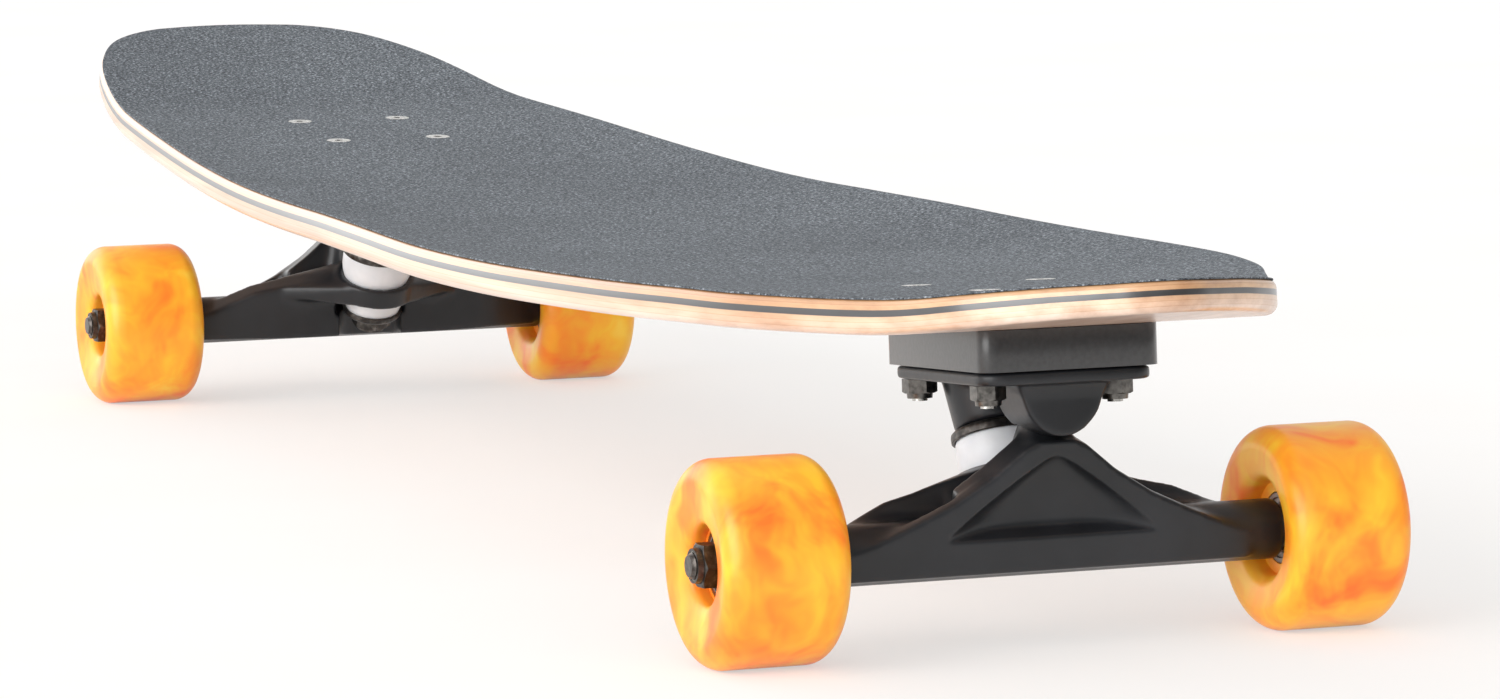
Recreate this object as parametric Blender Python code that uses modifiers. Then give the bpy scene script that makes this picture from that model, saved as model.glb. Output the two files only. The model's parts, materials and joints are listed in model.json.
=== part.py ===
"""A longboard skateboard: a pressed plywood deck with a kicktail, grip tape, two standard-kingpin
trucks on risers, and four soft wheels on bearings.

Metres. +X runs to the nose, +Y to the rider's left, +Z up. The origin is on the ground, under the
middle of the whole board. Each truck is drawn once, in a truck frame: u runs outboard (to the nose
on the front truck, to the tail on the rear one), v across, w up, from the middle of the top of the
baseplate. The frame leans with the deck, so both trucks are the same piece turned about.
"""

import math

import bmesh
import bpy
from mathutils import Matrix, Vector

# Board
NOSE_X = 0.4960
TAIL_X = -0.4960
MIDDLE_X = 0.04785
DECK_THICKNESS = 0.0100
DECK_EDGE_ROUND = 0.0022
GRIP_THICKNESS = 0.0008
DECK_MARGIN = 0.0009
GAP = 0.0003
CUT_PAST = 0.0300

# Outline of the grip from tail to nose: place along the board, half width
OUTLINE = (
    (-0.4960, 0.0),
    (-0.4940, 0.0190),
    (-0.4872, 0.0367),
    (-0.4722, 0.0528),
    (-0.4420, 0.0667),
    (-0.4020, 0.0768),
    (-0.3020, 0.0890),
    (-0.1520, 0.1001),
    (-0.0200, 0.1040),
    (0.1250, 0.1107),
    (0.2280, 0.1092),
    (0.3080, 0.1036),
    (0.3680, 0.0888),
    (0.4280, 0.0604),
    (0.4680, 0.0430),
    (0.4878, 0.0297),
    (0.4944, 0.0152),
    (0.4960, 0.0),
)
# Dish of the deck: place along the board, height of the rails over the middle
CONCAVE = (
    (-0.4960, 0.0002),
    (-0.3500, 0.0018),
    (-0.1500, 0.0044),
    (0.0500, 0.0066),
    (0.2000, 0.0055),
    (0.3100, 0.0036),
    (0.4000, 0.0016),
    (0.4600, 0.0011),
    (0.4960, 0.0004),
)
DISH_FLAT = 0.30
ROWS = (0.0, 0.30, 0.55, 0.79, 1.0)
# Rows across the ends fan out from these distances inside the tail and the nose
TAIL_FAN = 0.060
NOSE_FAN = 0.048
NARROWEST = 0.030
PATH_STEPS = 2

# Height profile of the grip along the middle, measured from MIDDLE_X: rocker, truck flats, kicks
BOLTS_FROM_MIDDLE = 0.3305
BOLTS_HEIGHT = 0.10795
TRUCK_TILT = math.radians(4.0)
ROCKER_END = 0.305
NOSE_KICK_START = 0.375
NOSE_KICK_END = 0.415
NOSE_KICK_SLOPE = 0.165
TAIL_KICK_START = 0.380
TAIL_KICK_END = 0.430
TAIL_KICK_SLOPE = 0.180

# Truck mounting stack, in the truck frame
HOLE_INNER = -0.03175
HOLE_OUTER = 0.02223
HOLE_SPARE = 0.03175
HOLE_ACROSS = 0.02065
HOLE_RADIUS = 0.00275
RISER_LENGTH = 0.0792
RISER_WIDTH = 0.0580
RISER_THICKNESS = 0.0125
RISER_CORNER = 0.0055
FLANGE_LENGTH = 0.0760
FLANGE_WIDTH = 0.0560
FLANGE_THICKNESS = 0.0040
FLANGE_CORNER = 0.0080
BOLT_RADIUS = 0.0024
BOLT_HEAD_RADIUS = 0.00475
BOLT_HEAD_DEPTH = 0.0026
NUT_ACROSS_FLATS = 0.0095
NUT_HEIGHT = 0.0060
BOLT_PAST_NUT = 0.0009
COUNTERSINK_ROOM = 0.0004
BOLT_RIM = 0.0003
DRILL_PAST = 0.0050

# Steering: ring centre, pivot centre and kingpin lean, in the truck frame
RING = Vector((-0.0146, 0.0, -0.0371))
PIVOT = Vector((0.0205, 0.0, -0.0110))
KINGPIN_LEAN = math.radians(19.0)
KINGPIN_RADIUS = 0.00475
# Places along the kingpin, from the ring centre, downwards
SEAT_AT = -0.0185
WASHER_THICKNESS = 0.0016
RING_HALF = 0.0042
RING_RADIUS = 0.0158
RING_BORE = 0.0075
BUSHING_SINK = 0.0010
KINGPIN_NUT_HEIGHT = 0.0060
KINGPIN_NUT_FLATS = 0.0143
KINGPIN_END = 0.0207
KINGPIN_HEAD_TOP = -0.0362
KINGPIN_HEAD_HEIGHT = 0.0048
KINGPIN_HEAD_RADIUS = 0.0070

# Cup washers and bushings, from the ring centre along the kingpin
WASHER_WALL = 0.0010
WASHER_CORNER = 0.0006
UPPER_WASHER_RADIUS = 0.0140
UPPER_WASHER_RIM = 0.0017
LOWER_WASHER_RADIUS = 0.0118
LOWER_WASHER_RIM = 0.0012
UPPER_BUSHING_SIDE = ((0.0122, 0.0163), (0.0131, 0.0115), (0.0132, 0.0085), (0.0129, 0.0035))
LOWER_BUSHING_SIDE = ((0.0126, 0.0035), (0.0125, 0.0050), (0.0112, 0.0090), (0.0104, 0.0116))

# Baseplate: pivot housing and kingpin boss
HOUSING_START = 0.0114
HOUSING_END = 0.0313
HOUSING_HALF = 0.0110
HOUSING_CENTRE = -0.0103
HOUSING_DEPTH = 0.0100
HOUSING_NECK = ((0.0128, -0.0020), (0.0128, -0.0045), (0.0114, -0.0068))
HOUSING_EDGE = 0.0016
BOSS_FOOT = Vector((-0.0240, 0.0, -0.0020))
BOSS_FOOT_RADIUS = 0.0132
BOSS_SEAT_RADIUS = 0.0117

# Pivot
PIN_RADIUS = 0.0042
CUP_RADIUS = 0.0069
CUP_END = 0.0064
CUP_MOUTH = -0.0065
NOSE_RADIUS = 0.0068

# Rear arms of the hanger, from the axle centre with the board level. Each row is a section: place
# across, back edge, height of the shelf over the back edge, place and height of the crest
ARM_BOTTOM = -0.0072
ARM_SECTIONS = (
    (0.0735, -0.0086, 0.0010, -0.0030, 0.0035),
    (0.0640, -0.0110, 0.0045, -0.0040, 0.0073),
    (0.0560, -0.0135, 0.0075, -0.0060, 0.0108),
    (0.0470, -0.0160, 0.0098, -0.0080, 0.0139),
    (0.0370, -0.0180, 0.0115, -0.0095, 0.0164),
    (0.0260, -0.0190, 0.0125, -0.0105, 0.0178),
)

# Front web of the hanger: half outline (across, up its face), lean back, place of its face
WEB_LEAN = math.radians(8.0)
WEB_FACE = 0.0094
WEB_THICKNESS = 0.0050
WEB_EDGE = 0.0009
WEB_HALF = (
    (0.0660, -0.0074),
    (0.0660, 0.0010),
    (0.0560, 0.0048),
    (0.0460, 0.0090),
    (0.0325, 0.0152),
    (0.0200, 0.0229),
    (0.0098, 0.0313),
    (0.0062, 0.0329),
)
SCOOP_MOUTH = ((-0.0348, 0.0034), (0.0348, 0.0034), (0.0, 0.0296))
SCOOP_FLOOR = ((-0.0150, 0.0066), (0.0150, 0.0066), (0.0, 0.0170))
SCOOP_LIP = 0.0002
SCOOP_DEPTH = 0.0042
MIDDLE_HALF = 0.0262
MIDDLE_SECTION = ((-0.0188, -0.0072), (-0.0188, 0.0150), (-0.0083, 0.0150), (0.0, -0.0085))

RING_SKIN = 0.0005
SHOULDER_DEPTH = 0.0040

# Nose of the hanger, from the ring centre up the steering axis
NOSE_START = 0.0120
NOSE_FOOT_RADIUS = 0.0083
PIN_SHOWS = 0.0008
PIN_ROOT = 0.0040
GUSSET_AT = 0.0250
GUSSET_RADIUS = 0.0080
GUSSET_HALF = 0.0068
GUSSET_ALONG = (0.0080, 0.0102)
GUSSET_HEIGHTS = (0.0140, 0.0315)

# Rooms in the hanger for the bushings, the washer and the nut
UPPER_ROOM_RADIUS = 0.0154
UPPER_SEAT_RADIUS = 0.0134
LOWER_ROOM_RADIUS = 0.0146
LOWER_SEAT_RADIUS = 0.0131
LOWER_ROOM_END = 0.0150
NUT_ROOM_START = 0.0142
NUT_ROOM_END = 0.0360
NUT_ROOM_RADIUS = 0.0094
NUT_ROOM_SHIFT = 0.0035

# Axle and wheels, from the axle centre
AXLE_OUT = 0.01005
AXLE_DROP = 0.05347
AXLE_RADIUS = 0.0040
AXLE_HALF = 0.1145
HANGER_HALF = 0.0775
BAR_RADIUS = 0.0093
WHEEL_CENTRE = 0.09135
WHEEL_RADIUS = 0.0315
WHEEL_STEPS = 28
WHEEL_WIDTH = 0.0397
LIP_ROUND = 0.0050
BEARING_RADIUS = 0.0110
BEARING_WIDTH = 0.0070
BEARING_INSIDE = 0.0050
HUB_BORE = 0.0080
OUTER_OPENING = ((0.0120, 0.0123), (0.0122, 0.0160), (0.0150, 0.0178))
INNER_OPENING = ((0.0165, 0.0178), (0.0146, 0.0155), (0.0145, 0.0123))
SPACER_RADIUS = 0.0058
AXLE_NUT_START = 0.10485
AXLE_NUT_HEIGHT = 0.0075
AXLE_NUT_FLATS = 0.0127

ROUND = 20
BOLT_STEPS = 10
END_CHAMFER = 0.0007
STACK = 3 * GAP + RISER_THICKNESS + DECK_THICKNESS + GRIP_THICKNESS
STEER_AXIS = (PIVOT - RING).normalized()
KINGPIN_AXIS = Vector((math.sin(KINGPIN_LEAN), 0.0, -math.cos(KINGPIN_LEAN)))


def clear_scene():
    for old in list(bpy.data.objects):
        bpy.data.objects.remove(old, do_unlink=True)
    for mesh in list(bpy.data.meshes):
        bpy.data.meshes.remove(mesh)


def new_collection(name):
    made = bpy.data.collections.new(name)
    bpy.context.scene.collection.children.link(made)
    return made


def make_material(name, colour, roughness, metallic=0.0):
    material = bpy.data.materials.new(name)
    material.use_nodes = True
    shader = material.node_tree.nodes["Principled BSDF"]
    shader.inputs["Base Color"].default_value = (*colour, 1.0)
    shader.inputs["Roughness"].default_value = roughness
    shader.inputs["Metallic"].default_value = metallic
    return material


def smooth_curve(points, at):
    """The height at one place of a smooth line through the points, with no overshoot."""
    for i in range(len(points) - 1):
        x0, y0 = points[i]
        x1, y1 = points[i + 1]
        if at > x1 and i < len(points) - 2:
            continue
        span = x1 - x0
        rise = (y1 - y0) / span
        before = (y0 - points[i - 1][1]) / (x0 - points[i - 1][0]) if i else rise
        after = rise
        if i < len(points) - 2:
            after = (points[i + 2][1] - y1) / (points[i + 2][0] - x1)
        slope0 = (before + rise) / 2 if before * rise > 0 else 0.0
        slope1 = (after + rise) / 2 if after * rise > 0 else 0.0
        t = min(max((at - x0) / span, 0.0), 1.0)
        return (
            y0 * (2 * t**3 - 3 * t**2 + 1)
            + slope0 * span * (t**3 - 2 * t**2 + t)
            + y1 * (3 * t**2 - 2 * t**3)
            + slope1 * span * (t**3 - t**2)
        )


def rounded_path(points, steps):
    """A smooth path through points in a plane, by Catmull-Rom spans, with steps points a span."""
    path = []
    count = len(points)
    for i in range(count - 1):
        a = Vector(points[max(i - 1, 0)])
        b = Vector(points[i])
        c = Vector(points[i + 1])
        d = Vector(points[min(i + 2, count - 1)])
        if i == 0:
            a = Vector((c.x, -c.y))
        if i == count - 2:
            d = Vector((b.x, -b.y))
        near, middle, far = ((p - q).length ** 0.5 for p, q in ((b, a), (c, b), (d, c)))
        lead = (b - a) / near - (c - a) / (near + middle) + (c - b) / middle
        trail = (c - b) / middle - (d - b) / (middle + far) + (d - c) / far
        for step in range(steps):
            t = step / steps
            path.append(
                b * (2 * t**3 - 3 * t**2 + 1)
                + lead * middle * (t**3 - 2 * t**2 + t)
                + c * (3 * t**2 - 2 * t**3)
                + trail * middle * (t**3 - t**2)
            )
    path.append(Vector(points[-1]))
    return path


def height_along(x):
    """Height of the grip's surface along the middle of the board."""
    reach = x - MIDDLE_X
    far = abs(reach)
    slope = math.tan(TRUCK_TILT)
    line = BOLTS_HEIGHT + slope * (far - BOLTS_FROM_MIDDLE)
    if far < ROCKER_END:
        edge = BOLTS_HEIGHT + slope * (ROCKER_END - BOLTS_FROM_MIDDLE)
        return edge - slope * (ROCKER_END**2 - far**2) / (2 * ROCKER_END)
    start, end, top = NOSE_KICK_START, NOSE_KICK_END, NOSE_KICK_SLOPE
    if reach < 0:
        start, end, top = TAIL_KICK_START, TAIL_KICK_END, TAIL_KICK_SLOPE
    bend = min(max(far - start, 0.0), end - start)
    past = max(far - end, 0.0)
    return line + (top - slope) * (bend**2 / (2 * (end - start)) + past)


def deck_height(x, y, half_width):
    share = max(abs(y) / half_width - DISH_FLAT, 0.0) / (1 - DISH_FLAT) if half_width else 0.0
    return height_along(x) + smooth_curve(CONCAVE, x) * share**2


def object_from(name, bm, collection):
    mesh = bpy.data.meshes.new(name)
    bm.to_mesh(mesh)
    bm.free()
    made = bpy.data.objects.new(name, mesh)
    collection.objects.link(made)
    return made


def board_sheet(name, margin, lift, thickness, offset, collection):
    """Half of a sheet that follows the deck's top, mirrored across and given its thickness."""
    rim_path = rounded_path(OUTLINE, PATH_STEPS)
    bm = bmesh.new()
    columns = len(rim_path) - 1
    bands = len(ROWS) - 1
    bmesh.ops.create_grid(bm, x_segments=columns, y_segments=bands, size=0.5)
    for vert in bm.verts:
        x, half = rim_path[round((vert.co.x + 0.5) * columns)]
        share = ROWS[round((vert.co.y + 0.5) * bands)]
        spine = min(max(x, TAIL_X + TAIL_FAN), NOSE_X - NOSE_FAN)
        away = Vector((x - spine, half))
        rim = away * (1 + margin / away.length)
        px = spine + rim.x * share
        py = rim.y * share
        vert.co = (px, py, deck_height(px, py, max(half, NARROWEST)) + lift)
    bmesh.ops.remove_doubles(bm, verts=bm.verts, dist=1e-6)
    bmesh.ops.recalc_face_normals(bm, faces=bm.faces)
    if sum(face.normal.z for face in bm.faces) < 0:
        bmesh.ops.reverse_faces(bm, faces=bm.faces)
    made = object_from(name, bm, collection)
    mirror = made.modifiers.new("both_sides", "MIRROR")
    mirror.use_axis = (False, True, False)
    mirror.merge_threshold = 1e-5
    wall = made.modifiers.new("thickness", "SOLIDIFY")
    wall.thickness = thickness
    wall.offset = offset
    wall.use_even_offset = True
    return made


def turned(name, profile, collection, segments=ROUND):
    """A solid of revolution about Z. The profile is (radius, height), down its outer side."""
    bm = bmesh.new()
    points = [bm.verts.new((radius, 0.0, height)) for radius, height in profile]
    for first, second in zip(points, points[1:]):
        bm.edges.new((first, second))
    if min(profile[0][0], profile[-1][0]) > 1e-6:
        bm.edges.new((points[-1], points[0]))
    made = object_from(name, bm, collection)
    screw = made.modifiers.new("turn", "SCREW")
    screw.steps = segments
    screw.render_steps = segments
    screw.use_merge_vertices = True
    screw.merge_threshold = 1e-5
    return made


def arc(centre, radius, start, end, steps):
    """Points of an arc in a plane, angles in degrees."""
    turn = [math.radians(start + (end - start) * i / steps) for i in range(steps + 1)]
    return [(centre[0] + radius * math.cos(a), centre[1] + radius * math.sin(a)) for a in turn]


def rounded_rectangle(length, width, corner, steps=3):
    x = length / 2 - corner
    y = width / 2 - corner
    corners = (((x, y), 0), ((-x, y), 90), ((-x, -y), 180), ((x, -y), 270))
    return [p for centre, turn in corners for p in arc(centre, corner, turn, turn + 90, steps)]


def circle(centre, radius, steps=10):
    return arc(centre, radius, 0, 360 * (steps - 1) / steps, steps - 1)


def plate(name, outlines, low, high, collection):
    """A flat plate between two heights. The first outline is its edge and the rest are holes."""
    curve = bpy.data.curves.new(name, "CURVE")
    curve.dimensions = "2D"
    curve.fill_mode = "BOTH"
    curve.extrude = (high - low) / 2
    for outline in outlines:
        spline = curve.splines.new("POLY")
        spline.points.add(len(outline) - 1)
        for spot, (x, y) in zip(spline.points, outline):
            spot.co = (x, y, 0.0, 1.0)
        spline.use_cyclic_u = True
    shape = bpy.data.objects.new(name + "_curve", curve)
    collection.objects.link(shape)
    graph = bpy.context.evaluated_depsgraph_get()
    mesh = bpy.data.meshes.new_from_object(shape.evaluated_get(graph))
    bm = bmesh.new()
    bm.from_mesh(mesh)
    bmesh.ops.remove_doubles(bm, verts=bm.verts, dist=1e-6)
    bmesh.ops.translate(bm, verts=bm.verts, vec=(0.0, 0.0, (low + high) / 2))
    bmesh.ops.recalc_face_normals(bm, faces=bm.faces)
    bpy.data.objects.remove(shape)
    bpy.data.curves.remove(curve)
    bpy.data.meshes.remove(mesh)
    return object_from(name, bm, collection)


def hull(name, points, collection):
    """The convex solid around some points, for lofts between unlike sections."""
    bm = bmesh.new()
    for point in points:
        bm.verts.new(point)
    made = bmesh.ops.convex_hull(bm, input=bm.verts)
    loose = [v for v in made["geom_interior"] if isinstance(v, bmesh.types.BMVert)]
    bmesh.ops.delete(bm, geom=loose, context="VERTS")
    bmesh.ops.dissolve_limit(bm, angle_limit=0.002, verts=bm.verts, edges=bm.edges)
    bmesh.ops.recalc_face_normals(bm, faces=bm.faces)
    return object_from(name, bm, collection)


def disc_points(centre, axis, radius, steps=ROUND):
    """Points of a circle in space, square to an axis that leans in the u-w plane."""
    across = Vector((0.0, 1.0, 0.0))
    other = axis.cross(across).normalized()
    turn = [2 * math.pi * i / steps for i in range(steps)]
    return [centre + radius * (math.cos(a) * across + math.sin(a) * other) for a in turn]


def barrel(name, start, end, first_radius, last_radius, collection, steps=ROUND):
    """A cylinder or cone between two points."""
    bm = bmesh.new()
    bmesh.ops.create_cone(
        bm,
        cap_ends=True,
        segments=steps,
        radius1=first_radius,
        radius2=last_radius,
        depth=(end - start).length,
        matrix=Matrix.Translation((start + end) / 2) @ facing(end - start),
    )
    return object_from(name, bm, collection)


def combine(target, name, solids, operation, collection, solver="EXACT"):
    """Adds or takes away several solids in one Boolean. They move to a collection of their own."""
    group = bpy.data.collections.new(name)
    collection.children.link(group)
    for solid in solids:
        collection.objects.unlink(solid)
        group.objects.link(solid)
    change = target.modifiers.new(name, "BOOLEAN")
    change.operand_type = "COLLECTION"
    change.collection = group
    change.operation = operation
    change.solver = solver


def bevel(target, width, segments=2, angle=40.0):
    change = target.modifiers.new("soft_edges", "BEVEL")
    change.width = width
    change.segments = segments
    change.limit_method = "ANGLE"
    change.angle_limit = math.radians(angle)
    change.use_clamp_overlap = True


def baked(shape):
    """The finished mesh of a shape with its modifiers, shared by the pieces made from it."""
    bpy.context.view_layer.update()
    graph = bpy.context.evaluated_depsgraph_get()
    mesh = bpy.data.meshes.new_from_object(shape.evaluated_get(graph))
    mesh.transform(shape.matrix_world)
    mesh.name = shape.name.removesuffix("_shape")
    mesh.materials.clear()
    mesh.shade_smooth()
    mesh.set_sharp_from_angle(angle=math.radians(35))
    return mesh


def facing(direction):
    """The turn that takes Z to a direction."""
    return Vector((0.0, 0.0, 1.0)).rotation_difference(direction).to_matrix().to_4x4()


def kingpin_point(along):
    return RING + KINGPIN_AXIS * along


def steer_point(along):
    return RING + STEER_AXIS * along


def level(x, y, z):
    """A point given from the axle's centre with the board on level ground, in the truck frame."""
    u = AXLE_OUT + x * math.cos(TRUCK_TILT) + z * math.sin(TRUCK_TILT)
    w = -AXLE_DROP - x * math.sin(TRUCK_TILT) + z * math.cos(TRUCK_TILT)
    return Vector((u, y, w))


def mirrored(points):
    """A half outline, given from its right end to its middle, with its other half added."""
    return points + [(-x, y) for x, y in reversed(points) if abs(x) > 1e-9]


def shape_deck(shapes):
    top = -GRIP_THICKNESS - GAP
    deck = board_sheet("deck_shape", DECK_MARGIN, top, DECK_THICKNESS, -1, shapes)
    bevel(deck, DECK_EDGE_ROUND, 2, 60)
    grip = board_sheet("grip_shape", 0.0, -GRIP_THICKNESS, GRIP_THICKNESS, 1, shapes)
    return deck, grip


def bolt_places():
    return [
        (u, v)
        for u in (HOLE_INNER, HOLE_OUTER)
        for v in (-HOLE_ACROSS, HOLE_ACROSS)
    ]


def shape_bolt_hole(shapes):
    """The hole that a deck bolt needs through grip and deck, with its countersink."""
    head = STACK - GAP
    mouth = BOLT_HEAD_RADIUS + COUNTERSINK_ROOM
    end = RISER_THICKNESS - DRILL_PAST
    return turned(
        "bolt_hole",
        (
            (0.0, STACK + DRILL_PAST),
            (mouth, STACK + DRILL_PAST),
            (mouth, head - BOLT_RIM),
            (HOLE_RADIUS, head - BOLT_HEAD_DEPTH - COUNTERSINK_ROOM),
            (HOLE_RADIUS, end),
            (0.0, end),
        ),
        shapes,
        BOLT_STEPS,
    )


def shape_bolt(shapes):
    end = -FLANGE_THICKNESS - GAP - NUT_HEIGHT - BOLT_PAST_NUT
    return turned(
        "bolt_shape",
        (
            (0.0, STACK),
            (BOLT_HEAD_RADIUS, STACK),
            (BOLT_HEAD_RADIUS, STACK - BOLT_RIM),
            (BOLT_RADIUS, STACK - BOLT_HEAD_DEPTH),
            (BOLT_RADIUS, end),
            (0.0, end),
        ),
        shapes,
        BOLT_STEPS,
    )


def hexagon(flats):
    return arc((0.0, 0.0), flats / 2 / math.cos(math.pi / 6), 0, 300, 5)


def shape_nut(name, flats, height, bore, shapes):
    """A hexagon nut that hangs down from zero height."""
    outlines = (hexagon(flats), circle((0.0, 0.0), bore, 12))
    return plate(name + "_shape", outlines, -height, 0.0, shapes)


def plate_holes():
    spots = bolt_places() + [(HOLE_SPARE, -HOLE_ACROSS), (HOLE_SPARE, HOLE_ACROSS)]
    return [circle(spot, HOLE_RADIUS) for spot in spots]


def shape_riser(shapes):
    outline = rounded_rectangle(RISER_LENGTH, RISER_WIDTH, RISER_CORNER)
    return plate("riser_shape", [outline] + plate_holes(), GAP, GAP + RISER_THICKNESS, shapes)


def shape_baseplate(shapes):
    outline = rounded_rectangle(FLANGE_LENGTH, FLANGE_WIDTH, FLANGE_CORNER)
    base = plate("baseplate_shape", [outline] + plate_holes(), -FLANGE_THICKNESS, 0.0, shapes)
    side = list(HOUSING_NECK)
    for x, y in arc((0.0, 0.0), HOUSING_HALF, 0, -180, 10):
        side.append((x, HOUSING_CENTRE + y * HOUSING_DEPTH / HOUSING_HALF))
    side += [(-x, y) for x, y in reversed(HOUSING_NECK)]
    housing = plate("pivot_housing", [side], HOUSING_START, HOUSING_END, shapes)
    housing.matrix_world = Matrix(((0, 0, 1, 0), (1, 0, 0, 0), (0, 1, 0, 0), (0, 0, 0, 1)))
    bevel(housing, HOUSING_EDGE, 2, 50)
    boss = hull(
        "kingpin_boss",
        disc_points(kingpin_point(SEAT_AT), KINGPIN_AXIS, BOSS_SEAT_RADIUS)
        + disc_points(BOSS_FOOT, Vector((0.0, 0.0, 1.0)), BOSS_FOOT_RADIUS),
        shapes,
    )
    combine(base, "baseplate_solids", (housing, boss), "UNION", shapes)
    cup_room = CUP_RADIUS + GAP
    cup_bore = barrel(
        "cup_bore",
        PIVOT + STEER_AXIS * (CUP_END + GAP),
        PIVOT - STEER_AXIS * CUT_PAST,
        cup_room,
        cup_room,
        shapes,
    )
    kingpin_bore = barrel(
        "kingpin_bore",
        kingpin_point(KINGPIN_HEAD_TOP),
        kingpin_point(SEAT_AT + CUT_PAST),
        KINGPIN_RADIUS + GAP,
        KINGPIN_RADIUS + GAP,
        shapes,
    )
    head_pocket = barrel(
        "head_pocket",
        kingpin_point(KINGPIN_HEAD_TOP - CUT_PAST),
        kingpin_point(KINGPIN_HEAD_TOP + KINGPIN_HEAD_HEIGHT + GAP),
        KINGPIN_HEAD_RADIUS + GAP,
        KINGPIN_HEAD_RADIUS + GAP,
        shapes,
    )
    combine(base, "baseplate_bores", (cup_bore, kingpin_bore, head_pocket), "DIFFERENCE", shapes)
    return base


def web_frame():
    """The web's face: its origin at axle height, and its across, up and outward directions."""
    across = Vector((0.0, 1.0, 0.0))
    leaning = level(math.sin(WEB_LEAN), 0.0, math.cos(WEB_LEAN))
    up = (leaning - level(0.0, 0.0, 0.0)).normalized()
    return level(WEB_FACE, 0.0, 0.0), across, up, across.cross(up)


def arm_solids(shapes):
    """The two rear arms, and the shoulders that join them to the ring."""
    rims = []
    for at in (RING_SKIN - RING_HALF, RING_HALF - RING_SKIN):
        rims += disc_points(kingpin_point(at), KINGPIN_AXIS, RING_RADIUS - RING_SKIN)
    made = []
    for name, side in (("left", 1), ("right", -1)):
        points = [
            level(x, side * y, z)
            for y, back, shelf, crest, top in ARM_SECTIONS
            for x, z in ((back, ARM_BOTTOM), (back, shelf), (crest, top), (0.0, ARM_BOTTOM))
        ]
        made.append(hull(name + "_arm", points, shapes))
        y, back, shelf, crest, top = ARM_SECTIONS[-1]
        low = shelf - SHOULDER_DEPTH
        ends = [
            level(x, side * y, z)
            for x, z in ((back, low), (back, shelf), (crest, top), (crest, shelf))
        ]
        made.append(hull(name + "_shoulder", ends + rims, shapes))
    return made


def nose_solids(shapes):
    """The nose cone up to the pivot, the gusset under it and the round-ended pin."""
    reach = (PIVOT - RING).length
    nose_end = reach + CUP_MOUTH - PIN_SHOWS
    nose = barrel(
        "nose",
        steer_point(NOSE_START),
        steer_point(nose_end),
        NOSE_FOOT_RADIUS,
        NOSE_RADIUS,
        shapes,
    )
    rim = disc_points(steer_point(GUSSET_AT), STEER_AXIS, GUSSET_RADIUS)
    foot = [
        level(x, side * GUSSET_HALF, z)
        for x in GUSSET_ALONG
        for side in (-1, 1)
        for z in GUSSET_HEIGHTS
    ]
    below = [p for p in rim if p.z < level(0.0, 0.0, GUSSET_HEIGHTS[1]).z]
    gusset = hull("gusset", below + foot, shapes)
    tip = [(r, reach + h) for r, h in reversed(arc((0.0, 0.0), PIN_RADIUS, 0, 75, 4))]
    root = nose_end - PIN_ROOT
    profile = [(0.0, reach + PIN_RADIUS)] + tip + [(PIN_RADIUS, root), (0.0, root)]
    pin = turned("pin", profile, shapes)
    pin.matrix_world = Matrix.Translation(RING) @ facing(STEER_AXIS)
    return [nose, gusset, pin]


def shape_hanger(shapes):
    """The casting that carries the axle: bar, front web with its scoop, arms, ring and nose."""
    ends = [level(0.0, side * HANGER_HALF, 0.0) for side in (-1, 1)]
    hanger = barrel("hanger_shape", ends[0], ends[1], BAR_RADIUS, BAR_RADIUS, shapes)
    face, across, up, out = web_frame()
    web = plate("web", [mirrored(list(WEB_HALF))], -WEB_THICKNESS, 0.0, shapes)
    bevel(web, WEB_EDGE, 1, 50)
    web.matrix_world = Matrix.Translation(face) @ Matrix((across, up, out)).transposed().to_4x4()
    block = [level(x, side * MIDDLE_HALF, z) for side in (-1, 1) for x, z in MIDDLE_SECTION]
    middle = hull("middle_block", block, shapes)
    low_rim = kingpin_point(RING_HALF)
    ring = barrel("ring", kingpin_point(-RING_HALF), low_rim, RING_RADIUS, RING_RADIUS, shapes)
    solids = [web, middle, ring] + arm_solids(shapes) + nose_solids(shapes)
    combine(hanger, "hanger_solids", solids, "UNION", shapes, "MANIFOLD")
    combine(hanger, "hanger_bores", hanger_cutters(shapes), "DIFFERENCE", shapes, "MANIFOLD")
    return hanger


def hanger_cutters(shapes):
    """The bores and hollows of the hanger, and the scoop in the face of its web."""
    sink = RING_HALF - BUSHING_SINK
    past = RING_HALF + BUSHING_SINK
    rounds = (
        ("upper_room", -RING_HALF - CUT_PAST, -RING_HALF, UPPER_ROOM_RADIUS),
        ("upper_seat", -past, -sink, UPPER_SEAT_RADIUS),
        ("lower_room", RING_HALF, LOWER_ROOM_END, LOWER_ROOM_RADIUS),
        ("lower_seat", sink, past, LOWER_SEAT_RADIUS),
        ("ring_bore", -RING_HALF - RING_BORE, RING_HALF + RING_BORE, RING_BORE),
    )
    cutters = [
        barrel(name, kingpin_point(start), kingpin_point(end), radius, radius, shapes)
        for name, start, end, radius in rounds
    ]
    face, across, up, out = web_frame()
    nut_points = [
        point + across * shift
        for shift in (-NUT_ROOM_SHIFT, NUT_ROOM_SHIFT)
        for at in (NUT_ROOM_START, NUT_ROOM_END)
        for point in disc_points(kingpin_point(at), KINGPIN_AXIS, NUT_ROOM_RADIUS)
    ]
    cutters.append(hull("nut_room", nut_points, shapes))
    reach = HANGER_HALF + CUT_PAST
    ends = [level(0.0, side * reach, 0.0) for side in (-1, 1)]
    axle_room = AXLE_RADIUS + GAP
    cutters.append(barrel("axle_bore", ends[0], ends[1], axle_room, axle_room, shapes, 16))
    mouth = [face + across * x + up * y + out * SCOOP_LIP for x, y in SCOOP_MOUTH]
    floor = [face + across * x + up * y - out * SCOOP_DEPTH for x, y in SCOOP_FLOOR]
    cutters.append(hull("scoop", mouth + floor, shapes))
    return cutters


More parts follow.
